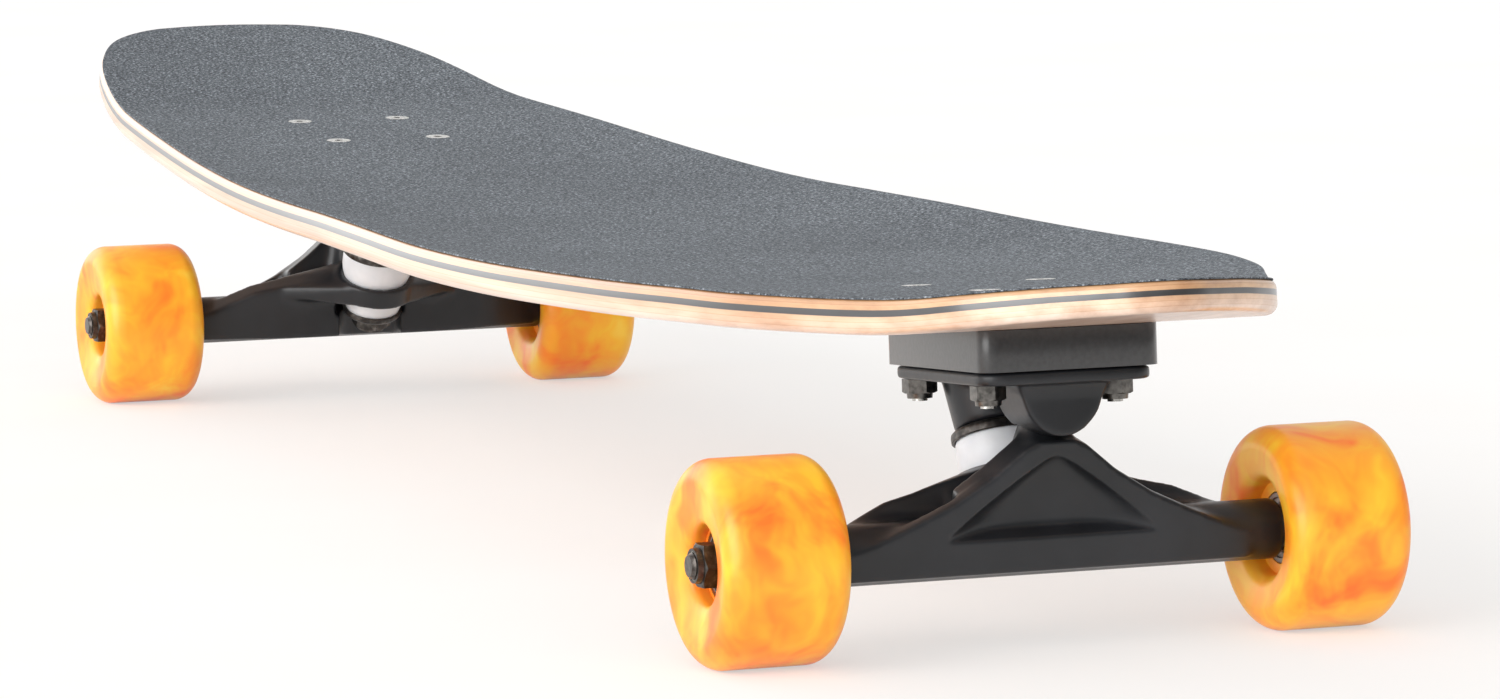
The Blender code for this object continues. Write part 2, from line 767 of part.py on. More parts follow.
def shape_kingpin(shapes):
    """The kingpin stands on its axis with its head up. Heights run up from the ring's centre."""
    top = -KINGPIN_HEAD_TOP
    under = top - KINGPIN_HEAD_HEIGHT
    return turned(
        "kingpin_shape",
        (
            (0.0, top),
            (KINGPIN_HEAD_RADIUS, top),
            (KINGPIN_HEAD_RADIUS, under),
            (KINGPIN_RADIUS, under),
            (KINGPIN_RADIUS, END_CHAMFER - KINGPIN_END),
            (KINGPIN_RADIUS - END_CHAMFER, -KINGPIN_END),
            (0.0, -KINGPIN_END),
        ),
        shapes,
    )


def shape_washer(name, flat, rim, radius, shapes):
    """A cup washer: a flat disc at one height with a rim that runs to another."""
    bore = KINGPIN_RADIUS + GAP
    back = flat + math.copysign(WASHER_THICKNESS, flat - rim)
    inside = radius - WASHER_WALL
    loop = [
        (bore, back),
        (radius - WASHER_CORNER, back),
        (radius, flat),
        (radius, rim),
        (inside, rim),
        (inside, flat),
        (bore, flat),
    ]
    return turned(name + "_shape", loop if back > rim else loop[::-1], shapes)


def shape_bushing(name, side, shapes):
    """A bushing from its side profile, which runs down from its upper end."""
    bore = KINGPIN_RADIUS + GAP
    loop = [(bore, side[0][1])] + side + [(bore, side[-1][1])]
    return turned(name + "_shape", loop, shapes)


def shape_cup(shapes):
    """The pivot cup stands on the steering axis, mouth down, from the pivot's centre."""
    inside = PIN_RADIUS + GAP
    return turned(
        "pivot_cup_shape",
        [(0.0, CUP_END), (CUP_RADIUS, CUP_END), (CUP_RADIUS, CUP_MOUTH), (inside, CUP_MOUTH)]
        + arc((0.0, 0.0), inside, 0, 75, 4)
        + [(0.0, inside)],
        shapes,
        20,
    )


def shape_wheel(shapes):
    """A wheel on its axis with its outer side up. Flats, not corners, reach the ground."""
    half = WHEEL_WIDTH / 2
    tread = WHEEL_RADIUS / math.cos(math.pi / WHEEL_STEPS)
    lip_top = arc((tread - LIP_ROUND, half - LIP_ROUND), LIP_ROUND, 90, 0, 3)
    lip_bottom = arc((tread - LIP_ROUND, LIP_ROUND - half), LIP_ROUND, 0, -90, 3)
    seat = BEARING_RADIUS + GAP
    shoulder = BEARING_INSIDE - GAP
    face = BEARING_INSIDE + BEARING_WIDTH + GAP
    outer_hub = [(HUB_BORE, shoulder), (seat, shoulder), (seat, face)] + list(OUTER_OPENING)
    inner_hub = [(radius, -along) for radius, along in INNER_OPENING]
    inner_hub += [(seat, -face), (seat, -shoulder), (HUB_BORE, -shoulder)]
    return turned("wheel_shape", outer_hub + lip_top + lip_bottom + inner_hub, shapes, WHEEL_STEPS)


def shape_ring(name, inside, outside, half, shapes, steps=16):
    loop = ((inside, half), (outside, half), (outside, -half), (inside, -half))
    return turned(name + "_shape", loop, shapes, steps)


def shape_axle(shapes):
    return turned(
        "axle_shape",
        (
            (0.0, AXLE_HALF),
            (AXLE_RADIUS - END_CHAMFER, AXLE_HALF),
            (AXLE_RADIUS, AXLE_HALF - END_CHAMFER),
            (AXLE_RADIUS, END_CHAMFER - AXLE_HALF),
            (AXLE_RADIUS - END_CHAMFER, -AXLE_HALF),
            (0.0, -AXLE_HALF),
        ),
        shapes,
        20,
    )


def truck_matrix(turn):
    """Where a truck frame stands. The rear truck is the front one turned half round."""
    bolts = (HOLE_INNER + HOLE_OUTER) / 2
    lean = Matrix.Rotation(-TRUCK_TILT, 4, "Y")
    start = Vector((BOLTS_FROM_MIDDLE, 0.0, BOLTS_HEIGHT)) - lean @ Vector((bolts, 0.0, STACK))
    place = Matrix.Translation((MIDDLE_X, 0.0, 0.0)) @ Matrix.Rotation(turn, 4, "Z")
    return place @ Matrix.Translation(start) @ lean


def add_piece(name, mesh, place, material, collection, parent=None):
    piece = bpy.data.objects.new(name, mesh)
    piece.matrix_world = place
    collection.objects.link(piece)
    if not mesh.materials:
        mesh.materials.append(material)
    if parent:
        piece.parent = parent[0]
        piece.matrix_parent_inverse = parent[1].inverted()
    return piece


def add_axis(name, place, collection, parent=None):
    """An empty on a joint's axis, which runs along its Z."""
    axis = bpy.data.objects.new(name, None)
    axis.empty_display_size = 0.03
    axis.matrix_world = place
    collection.objects.link(axis)
    if parent:
        axis.parent = parent[0]
        axis.matrix_parent_inverse = parent[1].inverted()
    return axis, place


def add_deck(board, shapes, trucks):
    """The plywood deck and its grip tape, with the bolt holes of both trucks."""
    plywood = make_material("maple_plywood", (0.60, 0.37, 0.20), 0.45)
    grit = make_material("grip_tape", (0.055, 0.065, 0.075), 0.95)
    deck, grip = shape_deck(shapes)
    hole = shape_bolt_hole(shapes)
    drills = []
    for end, place in trucks:
        for number, (u, v) in enumerate(bolt_places()):
            drill = hole.copy()
            drill.name = "%s_hole_%d" % (end, number)
            drill.matrix_world = place @ Matrix.Translation((u, v, 0.0))
            shapes.objects.link(drill)
            drills.append(drill)
    combine(deck, "bolt_holes", drills, "DIFFERENCE", shapes)
    through_grip = grip.modifiers.new("bolt_holes", "BOOLEAN")
    through_grip.operand_type = "COLLECTION"
    through_grip.collection = bpy.data.collections["bolt_holes"]
    add_piece("deck", baked(deck), Matrix(), plywood, board)
    add_piece("grip_tape", baked(grip), Matrix(), grit, board)


def truck_meshes(shapes):
    """The shared meshes of a truck's pieces and its wheels' pieces."""
    shaft = KINGPIN_RADIUS + GAP
    spindle = AXLE_RADIUS + GAP
    lower_side = [(radius, -along) for radius, along in LOWER_BUSHING_SIDE]
    upper_flat = UPPER_BUSHING_SIDE[0][1] + GAP
    lower_flat = lower_side[-1][1] - GAP
    upper_rim = upper_flat - UPPER_WASHER_RIM
    lower_rim = lower_flat + LOWER_WASHER_RIM
    made = (
        shape_riser(shapes),
        shape_baseplate(shapes),
        shape_hanger(shapes),
        shape_kingpin(shapes),
        shape_washer("upper_washer", upper_flat, upper_rim, UPPER_WASHER_RADIUS, shapes),
        shape_washer("lower_washer", lower_flat, lower_rim, LOWER_WASHER_RADIUS, shapes),
        shape_bushing("upper_bushing", list(UPPER_BUSHING_SIDE), shapes),
        shape_bushing("lower_bushing", lower_side, shapes),
        shape_cup(shapes),
        shape_axle(shapes),
        shape_wheel(shapes),
        shape_bolt(shapes),
        shape_nut("kingpin_nut", KINGPIN_NUT_FLATS, KINGPIN_NUT_HEIGHT, shaft, shapes),
        shape_nut("axle_nut", AXLE_NUT_FLATS, AXLE_NUT_HEIGHT, spindle, shapes),
        shape_nut("bolt_nut", NUT_ACROSS_FLATS, NUT_HEIGHT, BOLT_RADIUS + GAP, shapes),
        shape_ring("bearing", spindle, BEARING_RADIUS, BEARING_WIDTH / 2, shapes),
        shape_ring("spacer", spindle, SPACER_RADIUS, BEARING_INSIDE - GAP, shapes, 12),
    )
    return {shape.name.removesuffix("_shape"): baked(shape) for shape in made}


def add_fixed_truck_pieces(end, place, meshes, board):
    """What stays with the deck: riser, baseplate, kingpin and its stack, cup, bolts and nuts."""
    black_alloy = make_material(end + "_cast_alloy", (0.02, 0.02, 0.023), 0.38, 0.6)
    black_plastic = make_material(end + "_riser_plastic", (0.03, 0.03, 0.033), 0.45)
    black_steel = make_material(end + "_black_steel", (0.03, 0.03, 0.03), 0.4, 0.8)
    white_rubber = make_material(end + "_bushing_urethane", (0.85, 0.85, 0.83), 0.45)
    cup_plastic = make_material(end + "_cup_plastic", (0.02, 0.02, 0.02), 0.5)
    on_kingpin = place @ Matrix.Translation(RING) @ facing(-KINGPIN_AXIS)
    nut_top = -LOWER_BUSHING_SIDE[-1][1] - WASHER_THICKNESS - 2 * GAP
    nut_at = on_kingpin @ Matrix.Translation((0.0, 0.0, nut_top))
    cup_at = place @ Matrix.Translation(PIVOT) @ facing(STEER_AXIS)
    pieces = (
        ("riser", "riser", place, black_plastic),
        ("baseplate", "baseplate", place, black_alloy),
        ("kingpin", "kingpin", on_kingpin, black_steel),
        ("upper_cup_washer", "upper_washer", on_kingpin, black_steel),
        ("lower_cup_washer", "lower_washer", on_kingpin, black_steel),
        ("upper_bushing", "upper_bushing", on_kingpin, white_rubber),
        ("lower_bushing", "lower_bushing", on_kingpin, white_rubber),
        ("kingpin_nut", "kingpin_nut", nut_at, black_steel),
        ("pivot_cup", "pivot_cup", cup_at, cup_plastic),
    )
    for name, mesh, at, material in pieces:
        add_piece("%s_%s" % (end, name), meshes[mesh], at, material, board)
    for number, (u, v) in enumerate(bolt_places(), 1):
        head = place @ Matrix.Translation((u, v, 0.0))
        under = head @ Matrix.Translation((0.0, 0.0, -FLANGE_THICKNESS - GAP))
        add_piece("%s_deck_bolt_%d" % (end, number), meshes["bolt"], head, black_steel, board)
        add_piece("%s_deck_nut_%d" % (end, number), meshes["bolt_nut"], under, black_steel, board)


def add_steering_pieces(end, place, meshes, board):
    """What steers with the hanger, and the wheels that spin on its axle."""
    black_alloy = bpy.data.materials[end + "_cast_alloy"]
    black_steel = bpy.data.materials[end + "_black_steel"]
    steel = make_material(end + "_steel", (0.55, 0.55, 0.56), 0.3, 1.0)
    orange = make_material(end + "_wheel_urethane", (0.95, 0.33, 0.04), 0.35)
    steer_at = place @ Matrix.Translation(RING) @ facing(STEER_AXIS)
    steer = add_axis(end + "_steer_axis", steer_at, board)
    add_piece(end + "_hanger", meshes["hanger"], place, black_alloy, board, steer)
    axle_middle = place @ Vector((AXLE_OUT, 0.0, -AXLE_DROP))
    axle_at = Matrix.Translation(axle_middle) @ facing(Vector((0.0, 1.0, 0.0)))
    add_piece(end + "_axle", meshes["axle"], axle_at, steel, board, steer)
    flat_down = Matrix.Rotation(math.pi / WHEEL_STEPS, 4, "Z")
    bearing_out = BEARING_INSIDE + BEARING_WIDTH / 2
    nut_out = AXLE_NUT_START + AXLE_NUT_HEIGHT
    for side, face in (("left", Matrix()), ("right", Matrix.Rotation(math.pi, 4, "X"))):
        corner = "%s_%s" % (end, side)
        outward = axle_at @ face
        hub = outward @ Matrix.Translation((0.0, 0.0, WHEEL_CENTRE))
        nut_at = outward @ Matrix.Translation((0.0, 0.0, nut_out))
        spin = add_axis(corner + "_wheel_axis", hub, board, steer)
        add_piece(corner + "_wheel", meshes["wheel"], hub @ flat_down, orange, board, spin)
        for where, along in (("outer", bearing_out), ("inner", -bearing_out)):
            seat = hub @ Matrix.Translation((0.0, 0.0, along))
            name = "%s_%s_bearing" % (corner, where)
            add_piece(name, meshes["bearing"], seat, steel, board, spin)
        add_piece(corner + "_bearing_spacer", meshes["spacer"], hub, steel, board, steer)
        add_piece(corner + "_axle_nut", meshes["axle_nut"], nut_at, black_steel, board, steer)


def main():
    clear_scene()
    board = new_collection("longboard")
    shapes = new_collection("shapes")
    shapes.hide_render = True
    trucks = (("front", truck_matrix(0.0)), ("rear", truck_matrix(math.pi)))
    add_deck(board, shapes, trucks)
    meshes = truck_meshes(shapes)
    for end, place in trucks:
        add_fixed_truck_pieces(end, place, meshes, board)
        add_steering_pieces(end, place, meshes, board)
    for shape in shapes.all_objects:
        shape.hide_render = True
        shape.display_type = "WIRE"


main()
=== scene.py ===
"""A longboard skateboard, dressed: pressed maple deck with grip tape, cast trucks on risers, and
soft marbled wheels. Metres, +X to the nose, +Y to the rider's left, +Z up, ground at zero.
"""

import json
import math

import bmesh
import bpy
from mathutils import Matrix, Vector

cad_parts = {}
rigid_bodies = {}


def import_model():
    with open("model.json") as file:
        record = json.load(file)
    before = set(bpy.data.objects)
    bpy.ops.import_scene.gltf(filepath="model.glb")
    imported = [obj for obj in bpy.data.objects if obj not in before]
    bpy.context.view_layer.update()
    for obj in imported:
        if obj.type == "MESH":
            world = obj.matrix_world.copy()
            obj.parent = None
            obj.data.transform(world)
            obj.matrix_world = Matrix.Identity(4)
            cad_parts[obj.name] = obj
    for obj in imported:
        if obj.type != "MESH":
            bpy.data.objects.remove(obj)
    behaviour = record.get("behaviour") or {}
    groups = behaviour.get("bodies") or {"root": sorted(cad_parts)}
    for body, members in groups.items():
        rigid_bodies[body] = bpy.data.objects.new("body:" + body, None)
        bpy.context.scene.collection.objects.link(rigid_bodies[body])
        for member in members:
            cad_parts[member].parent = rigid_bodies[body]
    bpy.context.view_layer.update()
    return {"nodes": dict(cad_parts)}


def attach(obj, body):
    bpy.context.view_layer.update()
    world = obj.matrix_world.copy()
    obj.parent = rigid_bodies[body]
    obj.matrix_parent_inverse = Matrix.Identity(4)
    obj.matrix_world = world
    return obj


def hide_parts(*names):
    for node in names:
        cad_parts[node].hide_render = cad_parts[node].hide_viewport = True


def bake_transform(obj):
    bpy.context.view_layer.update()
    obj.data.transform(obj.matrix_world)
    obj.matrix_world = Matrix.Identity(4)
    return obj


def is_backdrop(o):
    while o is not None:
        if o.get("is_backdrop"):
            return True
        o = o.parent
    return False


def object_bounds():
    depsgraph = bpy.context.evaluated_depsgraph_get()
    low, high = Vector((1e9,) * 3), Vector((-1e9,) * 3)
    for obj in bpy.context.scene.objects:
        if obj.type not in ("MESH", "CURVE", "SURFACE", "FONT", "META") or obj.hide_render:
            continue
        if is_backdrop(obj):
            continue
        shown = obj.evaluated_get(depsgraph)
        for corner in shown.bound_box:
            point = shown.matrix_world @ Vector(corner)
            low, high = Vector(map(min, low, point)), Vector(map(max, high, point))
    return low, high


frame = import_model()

scene = bpy.context.scene

# --------------------------------------
# Deck. Seven plies of maple, one of them dyed dark, glued and pressed in a mould that gives the
# kicktail, the rocker and the shallow dish, then cut to shape, rounded at its edges and varnished.

NOSE_X, TAIL_X = 0.496, -0.496
MIDDLE_X = 0.04785  # halfway between the trucks
# The grip's rim from tail to nose: (along, half width)
OUTLINE = (
    (-0.496, 0.0), (-0.494, 0.0198), (-0.4872, 0.0378), (-0.4722, 0.0538), (-0.442, 0.0675),
    (-0.402, 0.0771), (-0.302, 0.0889), (-0.152, 0.0992), (-0.02, 0.1031), (0.125, 0.1095),
    (0.228, 0.1077), (0.308, 0.1008), (0.34, 0.0947), (0.368, 0.0875), (0.4, 0.0743),
    (0.428, 0.0621), (0.455, 0.05), (0.468, 0.039), (0.478, 0.0274), (0.4862, 0.017),
    (0.492, 0.0085), (0.4941, 0.0),
)
# How far the rim is pressed up above the middle: (along, rise)
DISH = (
    (-0.496, 0.0003), (-0.43, 0.0013), (-0.35, 0.002), (-0.25, 0.0034), (-0.17, 0.0039),
    (-0.1, 0.0045), (-0.05, 0.0054), (0.0, 0.0066), (0.06, 0.0071), (0.13, 0.0063),
    (0.2, 0.0056), (0.26, 0.005), (0.31, 0.004), (0.34, 0.0031), (0.37, 0.0017),
    (0.41, 0.0003), (0.45, 0.0001), (0.496, 0.0004),
)
DISH_FLAT = 0.3  # the share of the half width that stays flat
# How far from each end the rows of points fan out, and the least half width that the dish uses
TAIL_FAN, NOSE_FAN = 0.06, 0.048
NARROWEST = 0.03
RIM_STEPS = 8
ACROSS_STEPS = 12
BOLTS_FROM_MIDDLE, BOLTS_HEIGHT = 0.3305, 0.10795
TRUCK_TILT = math.radians(4.0)
ROCKER_END = 0.305
# Each kick: where its bend starts and ends, from the middle, and its slope from there
NOSE_KICK = (0.375, 0.4, 0.15)
TAIL_KICK = (0.38, 0.43, 0.18)
NOSE_THINNED = (0.42, 0.065, 0.13)  # from where, over what length, by what share
DECK_MARGIN = 0.0009
DECK_TOP, DECK_BOTTOM = 0.0005, 0.0111
DECK_TOP_ROUND, DECK_BOTTOM_ROUND = 0.0024, 0.0034
DECK_SIDE = 0.0022
STACK = 0.0242  # from the top of a baseplate to the top of the grip
HOLE_INNER, HOLE_OUTER, HOLE_ACROSS = -0.03175, 0.02223, 0.02065
BOLT_HEAD_RADIUS, BOLT_HEAD_DEPTH = 0.00475, 0.0026
BOLT_RIM = 0.0004
COUNTERSINK_ROOM = 0.0001
BOLT_HOLE_DEPTH, BOLT_HOLE_RADIUS = 0.008, 0.00275
DRILL_ABOVE = 0.004


def cubic(start, leave, end, arrive, t):
    """A point of a smooth span, from the slopes that it leaves and arrives with."""
    return (
        start * (2 * t**3 - 3 * t**2 + 1)
        + leave * (t**3 - 2 * t**2 + t)
        + end * (3 * t**2 - 2 * t**3)
        + arrive * (t**3 - t**2)
    )


def smooth_curve(points, at):
    """The height at one place of a smooth line through the points, with no overshoot."""
    last = len(points) - 2
    i = next((i for i in range(last) if at <= points[i + 1][0]), last)
    before, rise, after = (
        (points[j + 1][1] - points[j][1]) / (points[j + 1][0] - points[j][0])
        for j in (max(i - 1, 0), i, min(i + 1, last))
    )
    (x0, y0), (x1, y1) = points[i : i + 2]
    span = x1 - x0
    slope0 = (before + rise) / 2 if before * rise > 0 else 0.0
    slope1 = (after + rise) / 2 if after * rise > 0 else 0.0
    t = min(max((at - x0) / span, 0.0), 1.0)
    return cubic(y0, slope0 * span, y1, slope1 * span, t)


def rounded_path(points, steps):
    """A smooth path through points in a plane, with steps points a span and both ends square."""
    spots = [Vector(point) for point in points]
    path = []
    for i, (b, c) in enumerate(zip(spots, spots[1:])):
        a = spots[i - 1] if i else Vector((c.x, -c.y))
        d = spots[i + 2] if i < len(spots) - 2 else Vector((b.x, -b.y))
        near, middle, far = ((p - q).length ** 0.5 for p, q in ((b, a), (c, b), (d, c)))
        lead = (b - a) / near - (c - a) / (near + middle) + (c - b) / middle
        trail = (c - b) / middle - (d - b) / (middle + far) + (d - c) / far
        for step in range(steps):
            path.append(cubic(b, lead * middle, c, trail * middle, step / steps))
    return path + [spots[-1]]


def height_along(x):
    """Height of the grip's surface along the middle of the board: rocker, truck flats, kicks."""
    reach = x - MIDDLE_X
    far = abs(reach)
    slope = math.tan(TRUCK_TILT)
    line = BOLTS_HEIGHT + slope * (far - BOLTS_FROM_MIDDLE)
    if far < ROCKER_END:
        edge = BOLTS_HEIGHT + slope * (ROCKER_END - BOLTS_FROM_MIDDLE)
        return edge - slope * (ROCKER_END**2 - far**2) / (2 * ROCKER_END)
    start, end, top = TAIL_KICK if reach < 0 else NOSE_KICK
    bend = min(max(far - start, 0.0), end - start)
    past = max(far - end, 0.0)
    return line + (top - slope) * (bend**2 / (2 * (end - start)) + past)


def board_height(x, y, half_width):
    share = max(abs(y) / half_width - DISH_FLAT, 0.0) / (1 - DISH_FLAT)
    return height_along(x) + smooth_curve(DISH, x) * share**2


def thinning(x):
    """How much of its depth the board keeps: its nose is sanded a little thinner."""
    start, length, share = NOSE_THINNED
    return 1 - share * min(max((x - start) / length, 0.0), 1.0)


def arc(centre, radius, start, end, steps):
    """Points of an arc in a plane, angles in degrees."""
    turn = [math.radians(start + (end - start) * i / steps) for i in range(steps + 1)]
    return [(centre[0] + radius * math.cos(a), centre[1] + radius * math.sin(a)) for a in turn]


def finished(bm, name):
    """The mesh of a bmesh, with its faces turned outwards."""
    bmesh.ops.recalc_face_normals(bm, faces=bm.faces)
    mesh = bpy.data.meshes.new(name)
    bm.to_mesh(mesh)
    bm.free()
    return mesh


def board_layer(name, margin, section):
    """A closed sheet that follows the board. Its section runs from the middle of its top, out
    round its rim and back: rows of (share of the way out, distance past the rim, depth)."""
    bm = bmesh.new()
    depth_of = bm.verts.layers.float.new("ply_depth")
    step = 0.0002
    for side in (1, -1):
        rows = []
        for x, half in rounded_path(OUTLINE, RIM_STEPS):
            spine = min(max(x, TAIL_X + TAIL_FAN), NOSE_X - NOSE_FAN)
            away = Vector((x - spine, half))
            out = away.normalized()
            wide = max(half, NARROWEST)
            row = []
            for share, past, depth in section:
                px, py = out * ((away.length + margin) * share + past)
                px += spine
                slope_x = board_height(px + step, py, wide) - board_height(px - step, py, wide)
                slope_y = board_height(px, py + step, wide) - board_height(px, py - step, wide)
                normal = Vector((-slope_x, -slope_y, 2 * step)).normalized()
                spot = Vector((px, py, board_height(px, py, wide))) - normal * depth * thinning(px)
                vert = bm.verts.new((spot.x, spot.y * side, spot.z))
                vert[depth_of] = depth
                row.append(vert)
            rows.append(row)
        for near, far in zip(rows, rows[1:]):
            for i in range(len(section) - 1):
                bm.faces.new((near[i], near[i + 1], far[i + 1], far[i]))
    bmesh.ops.remove_doubles(bm, verts=bm.verts, dist=2e-6)
    return finished(bm, name)


def full_turn(steps):
    return [2 * math.pi * i / steps for i in range(steps)]


def turned(name, profile, steps=64, loop=False):
    """A solid of revolution about Z from a profile of (radius, height)."""
    bm = bmesh.new()
    rings = []
    for radius, height in profile:
        turn = full_turn(steps) if radius > 1e-7 else [0.0]
        spots = [(radius * math.cos(a), radius * math.sin(a), height) for a in turn]
        rings.append([bm.verts.new(spot) for spot in spots])
    spans = list(zip(rings, rings[1:]))
    if loop:
        spans.append((rings[-1], rings[0]))
    for first, second in spans:
        for i in range(steps):
            corners = []
            for ring, place in ((first, i), (second, i), (second, i + 1), (first, i + 1)):
                vert = ring[place % len(ring)]
                if vert not in corners:
                    corners.append(vert)
            if len(corners) > 2:
                bm.faces.new(corners)
    return finished(bm, name)


def add_object(name, data):
    made = bpy.data.objects.new(name, data)
    scene.collection.objects.link(made)
    return made


def add_step(shape, kind, **settings):
    """Adds a modifier with its settings."""
    step = shape.modifiers.new(kind, kind)
    for name, value in settings.items():
        setattr(step, name, value)


def combine(shape, solids, operation, solver="MANIFOLD"):
    """Adds or takes away several solids in one step, and gives the collection that holds them."""
    group = bpy.data.collections.new(operation)
    for solid in solids:
        group.objects.link(bpy.data.objects.new("solid", solid))
    settings = {"operand_type": "COLLECTION", "collection": group, "operation": operation}
    add_step(shape, "BOOLEAN", solver=solver, **settings)
    return group


def evaluated(shape, *groups):
    """The plain mesh of a shape with its modifiers. The shape and its tools are cleared away."""
    bpy.context.view_layer.update()
    graph = bpy.context.evaluated_depsgraph_get()
    mesh = bpy.data.meshes.new_from_object(shape.evaluated_get(graph))
    tools = [solid for group in groups for solid in group.objects]
    bpy.data.batch_remove([shape, *tools, *groups])
    return mesh


def soften(mesh, angle=35.0):
    mesh.shade_smooth()
    mesh.set_sharp_from_angle(angle=math.radians(angle))
    return mesh


def moved(mesh, place, name):
    made = mesh.copy()
    made.name = name
    made.transform(place)
    return made


def truck_place(turn):
    """Where a truck stands: u outboard, v across, w up from the top of its baseplate."""
    bolts = (HOLE_INNER + HOLE_OUTER) / 2
    lean = Matrix.Rotation(-TRUCK_TILT, 4, "Y")
    start = Vector((BOLTS_FROM_MIDDLE, 0.0, BOLTS_HEIGHT)) - lean @ Vector((bolts, 0.0, STACK))
    place = Matrix.Translation((MIDDLE_X, 0.0, 0.0)) @ Matrix.Rotation(turn, 4, "Z")
    return place @ Matrix.Translation(start) @ lean


TRUCKS = (("front", truck_place(0.0)), ("rear", truck_place(math.pi)))
BOLT_SPOTS = [(u, v) for u in (HOLE_INNER, HOLE_OUTER) for v in (-HOLE_ACROSS, HOLE_ACROSS)]


def drilled(mesh, profile):
    """A board layer with a turned hole at each bolt of both trucks, cut from above its top."""
    (wide, _), (_, foot) = profile[0], profile[-1]
    top = STACK + DRILL_ABOVE
    hole = turned("hole", [(0.0, top), (wide, top), *profile, (0.0, foot)], 32)
    drills = [
        moved(hole, place @ Matrix.Translation((u, v, 0.0)), "drill")
        for end, place in TRUCKS
        for u, v in BOLT_SPOTS
    ]
    layer = add_object("layer", mesh)
    return evaluated(layer, combine(layer, drills, "DIFFERENCE", "EXACT"))


def linear(code):
    """A hex colour as the eye sees it, turned to the linear values that a shader takes."""
    parts = [int(code[i : i + 2], 16) / 255 for i in (1, 3, 5)]
    return (*(p / 12.92 if p <= 0.04045 else ((p + 0.055) / 1.055) ** 2.4 for p in parts), 1.0)


def feed(node, inputs):
    """Gives a node's inputs their values or links. An input that takes many gets a list."""
    for socket, value in inputs.items():
        for item in value if isinstance(value, list) else [value]:
            if isinstance(item, bpy.types.NodeSocket):
                node.id_data.links.new(item, node.inputs[socket])
            else:
                node.inputs[socket].default_value = item


def add_node(tree, kind, inputs=None, out=0, stops=(), **settings):
    """Adds a node with its settings, its inputs as values or links, and a ramp's colours, and
    gives the output that the next node takes."""
    node = tree.nodes.new(kind)
    for name, value in settings.items():
        setattr(node, name, value)
    feed(node, inputs or {})
    if stops:
        elements = node.color_ramp.elements
        while len(elements) < len(stops):
            elements.new(0.5)
        for element, (place, code) in zip(elements, stops):
            element.position = place
            element.color = linear(code)
    return node.outputs[out] if node.outputs else None


def new_material(name, code, roughness, metallic=0.0, plain=None):
    """A material with the values that are the same all over it, its shader and the place on it."""
    material = bpy.data.materials.new(name)
    material.use_nodes = True
    tree = material.node_tree
    shader = tree.nodes["Principled BSDF"]
    feed(shader, {"Base Color": linear(code), "Roughness": roughness, "Metallic": metallic})
    feed(shader, plain or {})
    return material, tree, shader, add_node(tree, "ShaderNodeTexCoord", out="Object")


def vary(shader, noise, tones=(), gloss=(), relief=()):
    """Lets a noise change a finish: its colour along a ramp, its gloss between two values, and
    its skin by a strength and a depth."""
    tree = shader.id_data
    if tones:
        tone = add_node(tree, "ShaderNodeValToRGB", {"Fac": noise}, stops=tones)
        feed(shader, {"Base Color": tone})
    if gloss:
        ends = {"Value": noise, "To Min": gloss[0], "To Max": gloss[1]}
        feed(shader, {"Roughness": add_node(tree, "ShaderNodeMapRange", ends)})
    if relief:
        skin = {"Height": noise, "Strength": relief[0], "Distance": relief[1]}
        feed(shader, {"Normal": add_node(tree, "ShaderNodeBump", skin)})


def tinted(tree, colour, noise, stops):
    """A colour multiplied by a ramp of tints that follows a noise."""
    tint = add_node(tree, "ShaderNodeValToRGB", {"Fac": noise}, stops=stops)
    pair = {0: 1.0, 6: colour, 7: tint}
    return add_node(tree, "ShaderNodeMix", pair, 2, data_type="RGBA", blend_type="MULTIPLY")


def dress(mesh, *materials):
    mesh.materials.clear()
    for material in materials:
        mesh.materials.append(material)
    return mesh


# Rotary-cut maple under clear varnish: long soft grain, thin glue lines and one dyed ply that the
# cut edge shows as bands, with the faint gloss of a brushed coat.
maple, tree, shader, place = new_material(
    "varnished_maple_plywood", "#D2A47C", 0.42, 0.0,
    {"Coat Weight": 1.0, "Coat Roughness": 0.26, "Coat IOR": 1.7},
)
depth = add_node(tree, "ShaderNodeAttribute", out="Fac", attribute_name="ply_depth")
share = add_node(
    tree, "ShaderNodeMapRange", {"Value": depth, "From Min": DECK_TOP, "From Max": DECK_BOTTOM}
)
# The plies' own tones, with painted light: the lower plies are drawn paler and pinker, standing in
# for light glowing through the wood's lower edge.
ply_tones_and_glow = (
    (0.0, "#D3A87C"), (0.135, "#D8AD82"), (0.15, "#BE9064"), (0.165, "#DDB48A"),
    (0.285, "#DFB88F"), (0.3, "#3C4147"), (0.475, "#33373D"), (0.49, "#E6C4A4"),
    (0.62, "#EBCBAE"), (0.635, "#D8B08C"), (0.65, "#EED0B8"), (0.79, "#F0D4BE"),
    (0.805, "#DDB99B"), (0.82, "#F4DCCB"), (1.0, "#F6E0D2"),
)
wood_and_glow = add_node(tree, "ShaderNodeValToRGB", {"Fac": share}, stops=ply_tones_and_glow)
stretch = add_node(tree, "ShaderNodeMapping", {"Vector": place, "Scale": (2.2, 55.0, 90.0)})
fine = {"Vector": stretch, "Scale": 2.0, "Detail": 7.0, "Roughness": 0.62}
grain = add_node(tree, "ShaderNodeTexNoise", fine)
broad = {"Vector": stretch, "Scale": 0.5, "Detail": 2.0, "Distortion": 0.6}
figure = add_node(tree, "ShaderNodeTexNoise", broad)
wood_and_glow = tinted(tree, wood_and_glow, grain, ((0.32, "#D9C9BC"), (0.55, "#F6F0EA"), (0.7, "#FFFFFF")))
wood_and_glow = tinted(tree, wood_and_glow, figure, ((0.36, "#E9DBCF"), (0.6, "#FFFFFF")))
feed(shader, {"Base Color": wood_and_glow})
vary(shader, grain, gloss=(0.36, 0.5), relief=(0.25, 0.0002))


def across(depth):
    """Rows of a section from the middle of the board nearly to its rim, at one depth."""
    return [(i / ACROSS_STEPS, 0.0, depth) for i in range(ACROSS_STEPS)]


